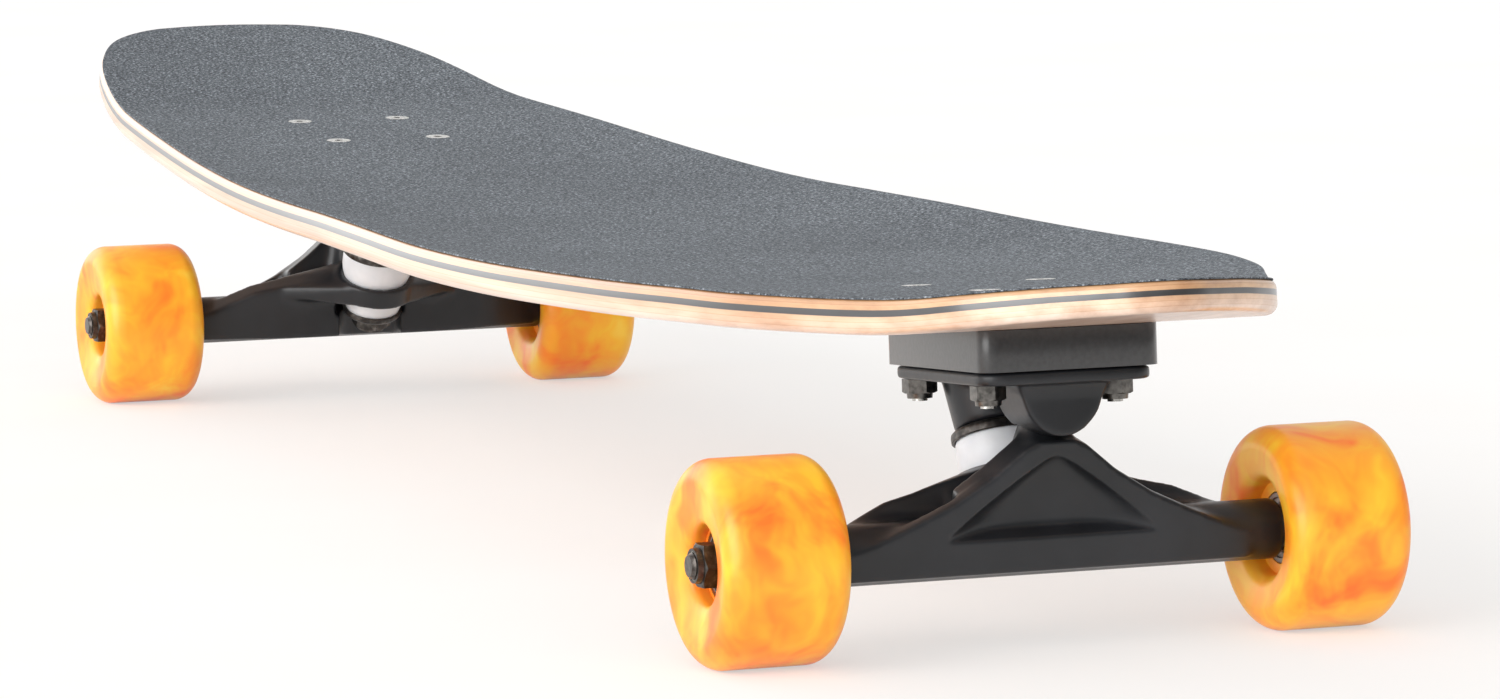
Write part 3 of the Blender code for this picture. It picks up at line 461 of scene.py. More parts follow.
top_arc = arc((-DECK_TOP_ROUND, -DECK_TOP_ROUND), DECK_TOP_ROUND, 90, 0, 6)
bottom_arc = arc((-DECK_BOTTOM_ROUND, 0.0), DECK_BOTTOM_ROUND, 0, -90, 7)
side_depth = DECK_BOTTOM - DECK_BOTTOM_ROUND
deck_section = (
    across(DECK_TOP)
    + [(1.0, p, DECK_TOP - q) for p, q in top_arc]
    + [(1.0, 0.0, DECK_TOP + DECK_TOP_ROUND + DECK_SIDE)]
    + [(1.0, p, side_depth - q) for p, q in bottom_arc]
    + across(DECK_BOTTOM)[::-1]
)
countersink = (
    (BOLT_HEAD_RADIUS + COUNTERSINK_ROOM, STACK - BOLT_RIM),
    (BOLT_HOLE_RADIUS, STACK - BOLT_HEAD_DEPTH - COUNTERSINK_ROOM),
    (BOLT_HOLE_RADIUS, STACK - BOLT_HOLE_DEPTH),
)
deck_mesh = drilled(board_layer("deck_layer", DECK_MARGIN, deck_section), countersink)
deck = add_object("pressed_deck", dress(soften(deck_mesh), maple))
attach(deck, "board")
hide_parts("deck")

# --------------------------------------
# Grip tape. A self-adhesive sheet coated with charcoal grit, laid over the whole top and cut a
# hair inside the wood, with a hole punched through it at every bolt.

GRIP_BOTTOM, GRIP_EDGE = 0.00055, 0.00015
GRIP_HOLE_RADIUS, GRIP_HOLE_DEPTH = 0.0049, 0.003

# Mineral grit bonded to paper: dark charcoal grit drawn a lighter grey, a painted sheen of grit
# seen at a low angle, with fine light and dark grains, the pale ones partly painted sparkle, and
# no real shine. The grains are half a millimetre and are drawn at about one, or the picture would
# not show them.
grit, tree, shader, place = new_material("grip_grit_and_painted_sheen", "#6C7075", 0.92)
askew = add_node(tree, "ShaderNodeMapping", {"Vector": place, "Rotation": (0.7, 0.4, 0.3)})
fine = {"Vector": askew, "Scale": 900.0, "Detail": 2.0, "Roughness": 0.8}
grains = add_node(tree, "ShaderNodeTexNoise", fine)
patches = add_node(tree, "ShaderNodeTexNoise", {"Vector": place, "Scale": 9.0, "Detail": 3.0})
# Painted sheen: the grey and the palest grains stand in for light caught by the grit, over its own
# light and dark grains.
grain_and_sparkle_stops = ((0.34, "#262A2E"), (0.46, "#565B61"), (0.56, "#6C7278"), (0.68, "#B4BAC0"))
grit_and_sheen = add_node(tree, "ShaderNodeValToRGB", {"Fac": grains}, stops=grain_and_sparkle_stops)
grit_and_sheen = tinted(tree, grit_and_sheen, patches, ((0.35, "#EDEDEE"), (0.65, "#FFFFFF")))
feed(shader, {"Base Color": grit_and_sheen})
vary(shader, grains, relief=(0.6, 0.0004))

grip_rim = [(1.0, -GRIP_EDGE, 0.0), (1.0, 0.0, GRIP_EDGE), (1.0, 0.0, GRIP_BOTTOM)]
grip_section = across(0.0) + grip_rim + across(GRIP_BOTTOM)[::-1]
punched = [(GRIP_HOLE_RADIUS, STACK - GRIP_HOLE_DEPTH)]
grip_mesh = drilled(board_layer("grip_layer", 0.0, grip_section), punched)
grip = add_object("grip_sheet", dress(soften(grip_mesh), grit))
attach(grip, "board")
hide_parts("grip_tape")

# --------------------------------------
# Deck bolts. Countersunk machine screws of plated steel with a hexagon socket, four to a truck,
# put through grip, deck, riser and baseplate from above and drawn down flush with the grip.

BOLT_RADIUS = 0.0024
HEAD_PROUD = 0.0001
BOLT_END = -0.0112
SOCKET_FLATS, SOCKET_DEPTH = 0.003, 0.0016
TO_CORNERS = 1 / math.cos(math.pi / 6)


def mottled(name, code, roughness, metallic, scale, detail, plain=None, **changes):
    """A finish with one fine noise over it that changes its colour, its gloss or its skin."""
    material, tree, shader, place = new_material(name, code, roughness, metallic, plain)
    size = {"Vector": place, "Scale": scale, "Detail": detail}
    vary(shader, add_node(tree, "ShaderNodeTexNoise", size), **changes)
    return material


# Zinc-plated steel, turned and barrelled: bright grey with a soft mirror and fine scratches.
plated = mottled(
    "plated_screw_steel", "#C4C2BD", 0.24, 1.0, 700.0, 3.0,
    tones=((0.35, "#B2B0AB"), (0.65, "#D2D0CB")), gloss=(0.16, 0.36),
)


def new_tree(name, sizes, coats, rows=()):
    """A Geometry Nodes tree that takes a mesh of spots, named sizes and named materials, and
    works out more sizes from them, in rows of (name, operation, terms)."""
    made = bpy.data.node_groups.new(name, "GeometryNodeTree")
    kinds = [("Geometry", "Geometry")]
    kinds += [(size, "Float") for size in sizes] + [(coat, "Material") for coat in coats]
    for label, kind in kinds:
        made.interface.new_socket(label, in_out="INPUT", socket_type="NodeSocket" + kind)
    made.interface.new_socket("Geometry", in_out="OUTPUT", socket_type="NodeSocketGeometry")
    given = dict(made.nodes.new("NodeGroupInput").outputs.items())
    for label, operation, *terms in rows:
        inputs = {i: given.get(term, term) for i, term in enumerate(terms)}
        given[label] = add_node(made, "ShaderNodeMath", inputs, operation=operation)
    return made, given


def raised(tree, shape, height):
    """A shape moved along Z inside a tree."""
    offset = add_node(tree, "ShaderNodeCombineXYZ", {"Z": height})
    return add_node(tree, "GeometryNodeTransform", {"Geometry": shape, "Translation": offset})


def round_solids(tree, size, *rows):
    """Round solids in a tree, from rows of (sides, height, depth, radius). A cylinder has its
    middle at that height, and a cone, with its top and bottom radius, stands on it."""
    solids = []
    for sides, height, depth, *radii in rows:
        kind = "Cone" if len(radii) > 1 else "Cylinder"
        labels = ("Radius Top", "Radius Bottom") if len(radii) > 1 else ("Radius",)
        inputs = {"Vertices": sides, "Depth": size[depth]}
        inputs.update(zip(labels, (size[radius] for radius in radii)))
        solid = add_node(tree, "GeometryNodeMesh" + kind, inputs)
        solids.append(raised(tree, solid, size[height]) if height else solid)
    return solids


def end_tree(tree, spots, shape, coat=None):
    """Puts the shape on every spot, makes the result real and gives it its material."""
    shape = add_node(tree, "GeometryNodeInstanceOnPoints", {"Points": spots, "Instance": shape})
    shape = add_node(tree, "GeometryNodeRealizeInstances", {"Geometry": shape})
    if coat is not None:
        shape = add_node(tree, "GeometryNodeSetMaterial", {"Geometry": shape, "Material": coat})
    add_node(tree, "NodeGroupOutput", {"Geometry": shape})


def run_tree(made, spots, values):
    """Runs a tree on a mesh of spots and gives the plain mesh."""
    mesh = bpy.data.meshes.new(made.name)
    mesh.from_pydata(spots, [], [])
    carrier = add_object(made.name + "_spots", mesh)
    add_step(carrier, "NODES", node_group=made)
    for item in made.interface.items_tree:
        if item.in_out == "INPUT" and item.name in values:
            carrier.modifiers[0][item.identifier] = values[item.name]
    return evaluated(carrier)


ADDED, SHARED, TAKEN = (
    {"operation": operation, "solver": "EXACT"}
    for operation in ("UNION", "INTERSECT", "DIFFERENCE")
)
bolt_sizes = {
    "Head Radius": BOLT_HEAD_RADIUS,
    "Shank Radius": BOLT_RADIUS,
    "Rim": BOLT_RIM,
    "Cone": BOLT_HEAD_DEPTH - BOLT_RIM,
    "Length": STACK - BOLT_END,
    "Socket Radius": SOCKET_FLATS / 2 * TO_CORNERS,
    "Socket Depth": SOCKET_DEPTH,
}
tree, size = new_tree(
    "countersunk_bolts",
    bolt_sizes,
    ["Steel"],
    (
        ("Rim Middle", "MULTIPLY", "Rim", -0.5),
        ("Head Depth", "ADD", "Rim", "Cone"),
        ("Cone Foot", "MULTIPLY", "Head Depth", -1.0),
        ("Shank Middle", "MULTIPLY", "Length", -0.5),
    ),
)
*parts, socket = round_solids(
    tree,
    size,
    (40, "Rim Middle", "Rim", "Head Radius"),
    (40, "Cone Foot", "Cone", "Head Radius", "Shank Radius"),
    (40, "Shank Middle", "Length", "Shank Radius"),
    (6, None, "Socket Depth", "Socket Radius"),
)
body = add_node(tree, "GeometryNodeMeshBoolean", {1: parts}, **ADDED)
socket = add_node(tree, "GeometryNodeTransform", {"Geometry": socket, "Scale": (1.0, 1.0, 2.0)})
hollow = add_node(tree, "GeometryNodeMeshBoolean", {0: body, 1: socket}, **TAKEN)
end_tree(tree, size["Geometry"], hollow, size["Steel"])
bolt_spots = [(u, v, STACK + HEAD_PROUD) for u, v in BOLT_SPOTS]
bolt_mesh = soften(run_tree(tree, bolt_spots, {**bolt_sizes, "Steel": plated}))


def set_piece(name, mesh, place, body, slot, *nodes):
    """A piece that keeps its place in its mesh, with its body and the solids that it stands for.
    Its slot is not used."""
    piece = add_object(name, moved(mesh, place, name))
    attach(piece, body)
    if nodes:
        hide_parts(*nodes)


for end, place in TRUCKS:
    nodes = ["%s_deck_bolt_%d" % (end, n) for n in range(1, 5)]
    set_piece(end + "_deck_bolts", bolt_mesh, place, "board", "black_steel", *nodes)

# --------------------------------------
# Deck nuts. Locking hexagon nuts of zinc-plated steel with a crimped collar that holds a nylon
# ring, one on each deck bolt, drawn up against the underside of the baseplate.

GAP, FIT = 0.0003, 0.0001
FLANGE_THICKNESS = 0.004
DECK_NUT_FLATS, DECK_NUT_HEIGHT = 0.0095, 0.006
COLLAR_SHARE = 0.26

# Zinc-plated nut steel: grey with a soft bright sheen on the facets that face the light.
zinc = mottled(
    "zinc_plated_nut_steel", "#6F6C69", 0.3, 1.0, 480.0, 3.0,
    tones=((0.36, "#5A5855"), (0.66, "#827F7B")), gloss=(0.22, 0.4),
)
# Nylon, moulded: dull off-white of the locking ring, faintly cloudy.
nylon = mottled(
    "moulded_nylon", "#B9B6AC", 0.55, 0.0, 500.0, 2.0, tones=((0.3, "#A9A69C"), (0.7, "#C6C3BA"))
)

nut_tree, size = new_tree(
    "locking_nuts",
    ("Corner Radius", "Chamfer Radius", "Bore Radius", "Height", "Collar"),
    ("Steel", "Ring"),
    (
        ("Hexagon Height", "SUBTRACT", "Height", "Collar"),
        ("Hexagon Middle", "MULTIPLY", "Hexagon Height", -0.5),
        ("Hexagon Foot", "MULTIPLY", "Hexagon Height", -1.0),
        ("Widening", "MULTIPLY", "Height", 1.7),
        ("Wide Radius", "ADD", "Chamfer Radius", "Widening"),
        ("Collar Root", "MULTIPLY", "Chamfer Radius", 0.97),
        ("Collar Radius", "MULTIPLY", "Chamfer Radius", 0.82),
        ("Nut Foot", "MULTIPLY", "Height", -1.0),
        ("Mouth Radius", "MULTIPLY", "Collar Radius", 0.84),
        ("Bore Length", "MULTIPLY", "Height", 4.0),
        ("Ring Height", "MULTIPLY", "Collar", 0.45),
        ("Ring Middle", "MULTIPLY_ADD", "Ring Height", 0.9, "Nut Foot"),
    ),
)
# The corners of the hexagon are turned off by a wide cone, and the collar is a steep one.
hexagon, wide_cone, collar, bore, mouth, ring = round_solids(
    nut_tree,
    size,
    (6, "Hexagon Middle", "Hexagon Height", "Corner Radius"),
    (48, "Hexagon Foot", "Height", "Wide Radius", "Chamfer Radius"),
    (48, "Nut Foot", "Height", "Collar Root", "Collar Radius"),
    (40, None, "Bore Length", "Bore Radius"),
    (40, "Nut Foot", "Collar", "Mouth Radius"),
    (40, None, "Ring Height", "Mouth Radius"),
)
chamfered = add_node(nut_tree, "GeometryNodeMeshBoolean", {1: [hexagon, wide_cone]}, **SHARED)
nut_body = add_node(nut_tree, "GeometryNodeMeshBoolean", {1: [chamfered, collar]}, **ADDED)
bored = add_node(nut_tree, "GeometryNodeMeshBoolean", {0: nut_body, 1: [bore, mouth]}, **TAKEN)
ring = add_node(nut_tree, "GeometryNodeMeshBoolean", {0: ring, 1: bore}, **TAKEN)
ring = raised(nut_tree, ring, size["Ring Middle"])
coated_parts = [
    add_node(nut_tree, "GeometryNodeSetMaterial", {"Geometry": part, "Material": size[coat]})
    for part, coat in ((ring, "Ring"), (bored, "Steel"))
]
whole_nut = add_node(nut_tree, "GeometryNodeJoinGeometry", {0: coated_parts})
end_tree(nut_tree, size["Geometry"], whole_nut)


def locking_nuts(spots, flats, height, bore, steel):
    """Nuts that hang down from their spots, collar lowest."""
    values = {
        "Corner Radius": flats / 2 * TO_CORNERS,
        "Chamfer Radius": flats / 2,
        "Bore Radius": bore,
        "Height": height,
        "Collar": height * COLLAR_SHARE,
        "Steel": steel,
        "Ring": nylon,
    }
    return soften(run_tree(nut_tree, spots, values), 25.0)


nut_spots = [(u, v, -FLANGE_THICKNESS - GAP) for u, v in BOLT_SPOTS]
deck_nuts = locking_nuts(nut_spots, DECK_NUT_FLATS, DECK_NUT_HEIGHT, BOLT_RADIUS + FIT, zinc)
for end, place in TRUCKS:
    nodes = ["%s_deck_nut_%d" % (end, n) for n in range(1, 5)]
    set_piece(end + "_deck_nuts", deck_nuts, place, "board", "black_steel", *nodes)

# --------------------------------------
# Riser pads. Thick pads of hard black plastic, injection moulded, that lift the trucks so the
# wheels clear the deck. Clamped between deck and baseplate by the deck bolts.

RISER_LENGTH, RISER_WIDTH, RISER_THICKNESS = 0.0792, 0.058, 0.0125
RISER_CORNER, RISER_EDGE = 0.0055, 0.0009
HOLE_SPARE = 0.03175

# Moulded polyethylene: soft black with a fine grained skin and a low sheen along its edges.
plastic = mottled(
    "moulded_riser_plastic", "#202123", 0.4, 0.0, 650.0, 3.0,
    {"Coat Weight": 1.0, "Coat Roughness": 0.2},
    tones=((0.35, "#1B1C1E"), (0.65, "#252628")), relief=(0.3, 0.00015),
)


def rounded_rectangle(length, width, corner, steps=8):
    x = length / 2 - corner
    y = width / 2 - corner
    corners = (((x, y), 0), ((-x, y), 90), ((-x, -y), 180), ((x, -y), 270))
    return [p for centre, turn in corners for p in arc(centre, corner, turn, turn + 90, steps)]


def plate(name, outlines, low, high):
    """A flat plate between two heights. The first outline is its edge and the rest are holes."""
    curve = bpy.data.curves.new(name, "CURVE")
    curve.dimensions = "2D"
    curve.fill_mode = "BOTH"
    curve.extrude = (high - low) / 2
    for outline in outlines:
        spline = curve.splines.new("POLY")
        spline.points.add(len(outline) - 1)
        for spot, (x, y) in zip(spline.points, outline):
            spot.co = (x, y, 0.0, 1.0)
        spline.use_cyclic_u = True
    bm = bmesh.new()
    bm.from_mesh(evaluated(add_object(name, curve)))
    bmesh.ops.remove_doubles(bm, verts=bm.verts, dist=1e-6)
    bmesh.ops.translate(bm, verts=bm.verts, vec=(0.0, 0.0, (low + high) / 2))
    return finished(bm, name)


def circle(spot, radius, steps=32):
    return arc(spot, radius, 0, 360 * (steps - 1) / steps, steps - 1)


def bevelled(mesh, width, segments=3, angle=40.0):
    shape = add_object("bevelled", mesh)
    limit = {"limit_method": "ANGLE", "angle_limit": math.radians(angle)}
    add_step(shape, "BEVEL", width=width, segments=segments, **limit)
    return soften(evaluated(shape), 50.0)


hole_spots = BOLT_SPOTS + [(HOLE_SPARE, -HOLE_ACROSS), (HOLE_SPARE, HOLE_ACROSS)]
plate_holes = [circle(spot, BOLT_HOLE_RADIUS) for spot in hole_spots]
riser_edge = rounded_rectangle(RISER_LENGTH, RISER_WIDTH, RISER_CORNER)
riser_slab = plate("riser", [riser_edge] + plate_holes, GAP, GAP + RISER_THICKNESS)
riser_mesh = dress(bevelled(riser_slab, RISER_EDGE), plastic)
for end, place in TRUCKS:
    name = end + "_riser_pad"
    set_piece(name, riser_mesh, place, "board", "riser_plastic", end + "_riser")

# --------------------------------------
# Baseplates. Cast aluminium, powder coated satin black: a six-hole flange, a housing that holds
# the pivot cup, and a leaning boss round the kingpin. Bolted up under the riser.

FLANGE_LENGTH, FLANGE_WIDTH, FLANGE_CORNER = 0.076, 0.056, 0.008
RING = Vector((-0.0146, 0.0, -0.0371))
PIVOT = Vector((0.0205, 0.0, -0.011))
STEER_AXIS = (PIVOT - RING).normalized()
KINGPIN_LEAN = math.radians(19.0)
KINGPIN_AXIS = Vector((math.sin(KINGPIN_LEAN), 0.0, -math.cos(KINGPIN_LEAN)))
KINGPIN_RADIUS = 0.00475
SEAT_AT = -0.0185
HOUSING = (0.0092, 0.0313)
HOUSING_SIDE = (
    (0.0136, -0.002), (0.0135, -0.006), (0.0125, -0.0103), (0.0112, -0.0133),
    (0.0093, -0.0158), (0.0068, -0.0181), (0.0038, -0.0197),
)
HOUSING_BOTTOM = -0.0203
# The housing widens where it meets the flange: (inner end, outer end, half width, height)
HOUSING_FLARE = (
    (0.0078, 0.0332, 0.015, -0.0034),
    (0.0086, 0.0322, 0.0142, -0.0052),
    (*HOUSING, 0.0135, -0.0078),
)
BOSS_FOOT = Vector((-0.024, 0.0, -0.002))
# Half length, half width and drop of the boss where it leaves the flange
BOSS_SIZES = ((0.0136, 0.0165, 0.0), (0.013, 0.015, -0.006))
BOSS_SEAT_RADIUS = 0.013
CUP_RADIUS, CUP_END = 0.0069, 0.0064
HEAD_TOP, HEAD_HEIGHT, HEAD_RADIUS = -0.0362, 0.0048, 0.007
CUT_PAST = 0.03
BASE_VOXEL, BASE_FILLET = 0.0006, 0.0012
CAST_SMOOTHING = 6

# Powder coat baked on a casting: satin black, a faint orange-peel skin over soft cast edges, and
# a grey sheen where light skims it.
coated, tree, shader, place = new_material(
    "powder_coated_casting", "#1A1C1F", 0.38, 0.0,
    {"Specular IOR Level": 0.35, "Coat Weight": 0.3, "Coat Roughness": 0.28},
)
peel = add_node(tree, "ShaderNodeTexNoise", {"Vector": place, "Scale": 380.0, "Detail": 3.0})
broad = add_node(tree, "ShaderNodeTexNoise", {"Vector": place, "Scale": 38.0, "Detail": 4.0})
vary(shader, broad, tones=((0.35, "#17191C"), (0.65, "#202226")))
vary(shader, peel, gloss=(0.34, 0.48), relief=(0.22, 0.0002))


def kingpin_point(along):
    return RING + KINGPIN_AXIS * along


def disc_points(centre, axis, radius, steps=40):
    """Points of a circle in space, square to an axis that leans in the u-w plane."""
    side = Vector((0.0, 1.0, 0.0))
    other = axis.cross(side).normalized()
    turn = full_turn(steps)
    return [centre + radius * (math.cos(a) * side + math.sin(a) * other) for a in turn]


def hull(name, points):
    """The convex solid around some points."""
    bm = bmesh.new()
    for point in points:
        bm.verts.new(point)
    made = bmesh.ops.convex_hull(bm, input=bm.verts)
    loose = [v for v in made["geom_interior"] if isinstance(v, bmesh.types.BMVert)]
    bmesh.ops.delete(bm, geom=loose, context="VERTS")
    return finished(bm, name)


def facing(direction):
    """The turn that takes Z to a direction."""
    return Vector((0.0, 0.0, 1.0)).rotation_difference(direction).to_matrix().to_4x4()


def barrel(name, start, end, radius):
    """A cylinder between two points."""
    length = (end - start).length
    profile = ((0.0, length), (radius, length), (radius, 0.0), (0.0, 0.0))
    place = Matrix.Translation(start) @ facing(end - start)
    return moved(turned(name, profile), place, name)


def kingpin_bores(*rows):
    """Cylinders along the kingpin, from rows of (start, end, radius)."""
    return [barrel("bore", kingpin_point(a), kingpin_point(b), radius) for a, b, radius in rows]


def mirrored(half, middle=()):
    """A half outline of (across, up), the points between, and its mirror image."""
    return list(half) + list(middle) + [(-v, w) for v, w in reversed(half)]


def cast(name, solids, cutters, voxel, fillet):
    """One casting: solids added, inner corners filled by growing and shrinking the skin, hollows
    taken away, and every edge softened as sand or a die leaves it."""
    shape = add_object(name, solids[0])
    added = combine(shape, solids[1:], "UNION")
    skin = {"mode": "VOXEL", "voxel_size": voxel}
    for push in (fillet, -fillet):
        add_step(shape, "REMESH", **skin)
        add_step(shape, "DISPLACE", mid_level=0.0, strength=push)
    add_step(shape, "REMESH", **skin)
    taken = combine(shape, cutters, "DIFFERENCE")
    add_step(shape, "REMESH", **skin)
    add_step(shape, "SMOOTH", factor=0.5, iterations=CAST_SMOOTHING)
    made = evaluated(shape, added, taken)
    made.shade_smooth()
    return made


flange_edge = rounded_rectangle(FLANGE_LENGTH, FLANGE_WIDTH, FLANGE_CORNER)
side_points = mirrored(HOUSING_SIDE, [(0.0, HOUSING_BOTTOM)])
flare_points = [
    (u, side * v, w)
    for low_u, high_u, v, w in HOUSING_FLARE
    for u in (low_u, high_u)
    for side in (-1, 1)
]
boss_points = disc_points(kingpin_point(SEAT_AT), KINGPIN_AXIS, BOSS_SEAT_RADIUS)
for long, wide, drop in BOSS_SIZES:
    for a in full_turn(40):
        boss_points.append(BOSS_FOOT + Vector((long * math.cos(a), wide * math.sin(a), drop)))
base_solids = [
    plate("flange", [flange_edge] + plate_holes, -FLANGE_THICKNESS, 0.0),
    hull("housing", [(u, v, w) for u in HOUSING for v, w in side_points]),
    hull("flare", flare_points),
    hull("boss", boss_points),
]
cup_end = PIVOT + STEER_AXIS * (CUP_END + GAP)
base_cutters = [barrel("cup_bore", cup_end, PIVOT - STEER_AXIS * CUT_PAST, CUP_RADIUS + GAP)]
base_cutters += kingpin_bores(
    (HEAD_TOP, SEAT_AT + CUT_PAST, KINGPIN_RADIUS + GAP),
    (HEAD_TOP - CUT_PAST, HEAD_TOP + HEAD_HEIGHT + GAP, HEAD_RADIUS + GAP),
)
base_mesh = dress(cast("baseplate", base_solids, base_cutters, BASE_VOXEL, BASE_FILLET), coated)
for end, place in TRUCKS:
    name = end + "_baseplate_casting"
    set_piece(name, base_mesh, place, "board", "black_cast_alloy", end + "_baseplate")

# --------------------------------------
# Hangers. Cast aluminium with the same coat: a round bar for the axle, a thick upright web with a
# three-cornered hollow in its face, two rising arms, and a ring that the kingpin passes through.

AXLE_OUT, AXLE_DROP, AXLE_RADIUS = 0.01005, 0.05347, 0.004
HANGER_HALF = 0.0775
BAR_RADIUS = 0.0093
RING_HALF, RING_RADIUS, RING_BORE = 0.0042, 0.0158, 0.0075
AXLE_ROOM = 0.0002
BUSHING_SINK = 0.001
ARM_BOTTOM = -0.0072
# The arms from the wheels inwards: (across, back, height of the back, crest, height of the crest)
ARM_SECTIONS = (
    (0.0735, -0.0086, 0.001, -0.003, 0.0035),
    (0.064, -0.011, 0.004, -0.004, 0.0073),
    (0.056, -0.0135, 0.0077, -0.006, 0.0108),
    (0.047, -0.016, 0.0116, -0.008, 0.0145),
    (0.037, -0.018, 0.0135, -0.0095, 0.0166),
    (0.026, -0.019, 0.0148, -0.0105, 0.0178),
)
WEB_LEAN = math.radians(8.0)
WEB_FACE, WEB_THICKNESS = 0.0094, 0.005
WALL_FACE, WALL_THICKNESS = 0.0001, 0.012
WEB_HALF = (
    (0.066, -0.0074), (0.066, 0.001), (0.056, 0.0048), (0.046, 0.009),
    (0.0325, 0.0152), (0.02, 0.0229), (0.0098, 0.0313), (0.0062, 0.0329),
)
WALL_HALF = (
    (0.029, 0.002), (0.029, 0.0166), (0.02, 0.0229), (0.0098, 0.0313), (0.0062, 0.0325),
)
SCOOP_FOOT, SCOOP_TOP, SCOOP_HALF, SCOOP_DEPTH = 0.0034, 0.029, 0.035, 0.0058
SCOOP_BELLY, SCOOP_LIP, SCOOP_STEPS = 0.005, 0.1, 12
SCOOP_PROUD = 0.0008
MIDDLE_HALF = 0.0262
MIDDLE_SECTION = ((-0.0188, -0.0072), (-0.0188, 0.015), (-0.0083, 0.015), (0.0, -0.0085))
RING_SKIN = 0.0005
SHOULDER_DEPTH = 0.004
CUP_MOUTH = -0.0065
PIN_SHOWS, PIN_RADIUS, PIN_ROOT = 0.0008, 0.0042, 0.004
NOSE_RADIUS = 0.0066
# The neck under the pivot: (out, half width, up)
NECK = (
    (-0.0055, 0.0058, 0.031), (0.012, 0.0066, 0.0318),
    (-0.011, 0.01, 0.015), (0.006, 0.013, 0.015),
)
UPPER_ROOM_RADIUS, UPPER_SEAT_RADIUS = 0.0154, 0.0134
LOWER_ROOM_RADIUS, LOWER_SEAT_RADIUS, LOWER_ROOM_END = 0.0146, 0.0131, 0.015
NUT_ROOM = (0.0142, 0.036)
NUT_ROOM_RADIUS, NUT_ROOM_SHIFT = 0.0094, 0.0035
HANGER_VOXEL, HANGER_FILLET = 0.00065, 0.003


def level(x, y, z):
    """A point given from the axle's centre with the board on level ground, in the truck frame."""
    u = AXLE_OUT + x * math.cos(TRUCK_TILT) + z * math.sin(TRUCK_TILT)
    w = -AXLE_DROP - x * math.sin(TRUCK_TILT) + z * math.cos(TRUCK_TILT)
    return Vector((u, y, w))


def web_point(across, up, out):
    """A point given on the web's leaning face, with its distance out of the face."""
    lean_in, lean_up = math.sin(WEB_LEAN), math.cos(WEB_LEAN)
    return level(WEB_FACE + up * lean_in + out * lean_up, across, up * lean_up - out * lean_in)


def along_axle(name, half, radius):
    return barrel(name, level(0.0, -half, 0.0), level(0.0, half, 0.0), radius)


hanger_solids = [along_axle("bar", HANGER_HALF, BAR_RADIUS)]
web_middle = web_point(0.0, 0.0, 0.0)
web_turn = Matrix(
    ((0.0, 1.0, 0.0), web_point(0.0, 1.0, 0.0) - web_middle, web_point(0.0, 0.0, 1.0) - web_middle)
).transposed()
to_web = Matrix.Translation(web_middle) @ web_turn.to_4x4()
for name, half_outline, low, high in (
    ("web", WEB_HALF, -WEB_THICKNESS, 0.0),
    ("wall", WALL_HALF, -WALL_THICKNESS, -WALL_FACE),
):
    hanger_solids.append(moved(plate(name, [mirrored(half_outline)], low, high), to_web, name))
for side in (1, -1):
    sections = [
        [
            level(x, side * y, z)
            for x, z in ((back, ARM_BOTTOM), (back, shelf), (crest, top), (0.0, ARM_BOTTOM))
        ]
        for y, back, shelf, crest, top in ARM_SECTIONS
    ]
    hanger_solids += [hull("arm", first + second) for first, second in zip(sections, sections[1:])]
rims = []
for at in (RING_SKIN - RING_HALF, RING_HALF - RING_SKIN):
    rims += disc_points(kingpin_point(at), KINGPIN_AXIS, RING_RADIUS - RING_SKIN)
y, back, shelf, crest, top = ARM_SECTIONS[-2]
shoulder = ((back, shelf - SHOULDER_DEPTH), (back, shelf), (crest, top), (crest, shelf))
for side in (1, -1):
    hanger_solids.append(hull("shoulder", [level(x, side * y, z) for x, z in shoulder] + rims))
middle = [level(x, side * MIDDLE_HALF, z) for side in (-1, 1) for x, z in MIDDLE_SECTION]
reach = (PIVOT - RING).length
nose_end = reach + CUP_MOUTH - PIN_SHOWS
neck = disc_points(RING + STEER_AXIS * nose_end, STEER_AXIS, NOSE_RADIUS)
neck += [level(x, side * half, z) for x, half, z in NECK for side in (-1, 1)]
tip = [(r, reach + h) for r, h in reversed(arc((0.0, 0.0), PIN_RADIUS, 0, 75, 6))]
root = nose_end - PIN_ROOT
pin_profile = [(0.0, reach + PIN_RADIUS)] + tip + [(PIN_RADIUS, root), (0.0, root)]
pin_place = Matrix.Translation(RING) @ facing(STEER_AXIS)
hanger_solids += [
    hull("middle", middle),
    barrel("ring", kingpin_point(-RING_HALF), kingpin_point(RING_HALF), RING_RADIUS),
    hull("neck", neck),
    moved(turned("pin", pin_profile, 40), pin_place, "pin"),
]

sink, past = RING_HALF - BUSHING_SINK, RING_HALF + BUSHING_SINK
hanger_cutters = kingpin_bores(
    (-RING_HALF - CUT_PAST, -RING_HALF, UPPER_ROOM_RADIUS),
    (-past, -sink, UPPER_SEAT_RADIUS),
    (RING_HALF, LOWER_ROOM_END, LOWER_ROOM_RADIUS),
    (sink, past, LOWER_SEAT_RADIUS),
    (-RING_HALF - RING_BORE, RING_HALF + RING_BORE, RING_BORE),
)
nut_room = [
    point + Vector((0.0, shift, 0.0))
    for shift in (-NUT_ROOM_SHIFT, NUT_ROOM_SHIFT)
    for at in NUT_ROOM
    for point in disc_points(kingpin_point(at), KINGPIN_AXIS, NUT_ROOM_RADIUS)
]
scoop = []
for row in range(SCOOP_STEPS + 1):
    rise = row / SCOOP_STEPS
    half = SCOOP_HALF * (1 - rise) + SCOOP_BELLY * math.sqrt(rise * (1 - rise))
    up = SCOOP_FOOT + (SCOOP_TOP - SCOOP_FOOT) * rise
    for step in range(-SCOOP_STEPS, SCOOP_STEPS + 1):
        side = step / SCOOP_STEPS
        deep = SCOOP_DEPTH * (1 - side**4) * (1 - rise**4) * min(rise / SCOOP_LIP, 1.0) ** 0.5
        scoop.append(web_point(side * half, up, -deep))
        scoop.append(web_point(side * half, up, SCOOP_PROUD))
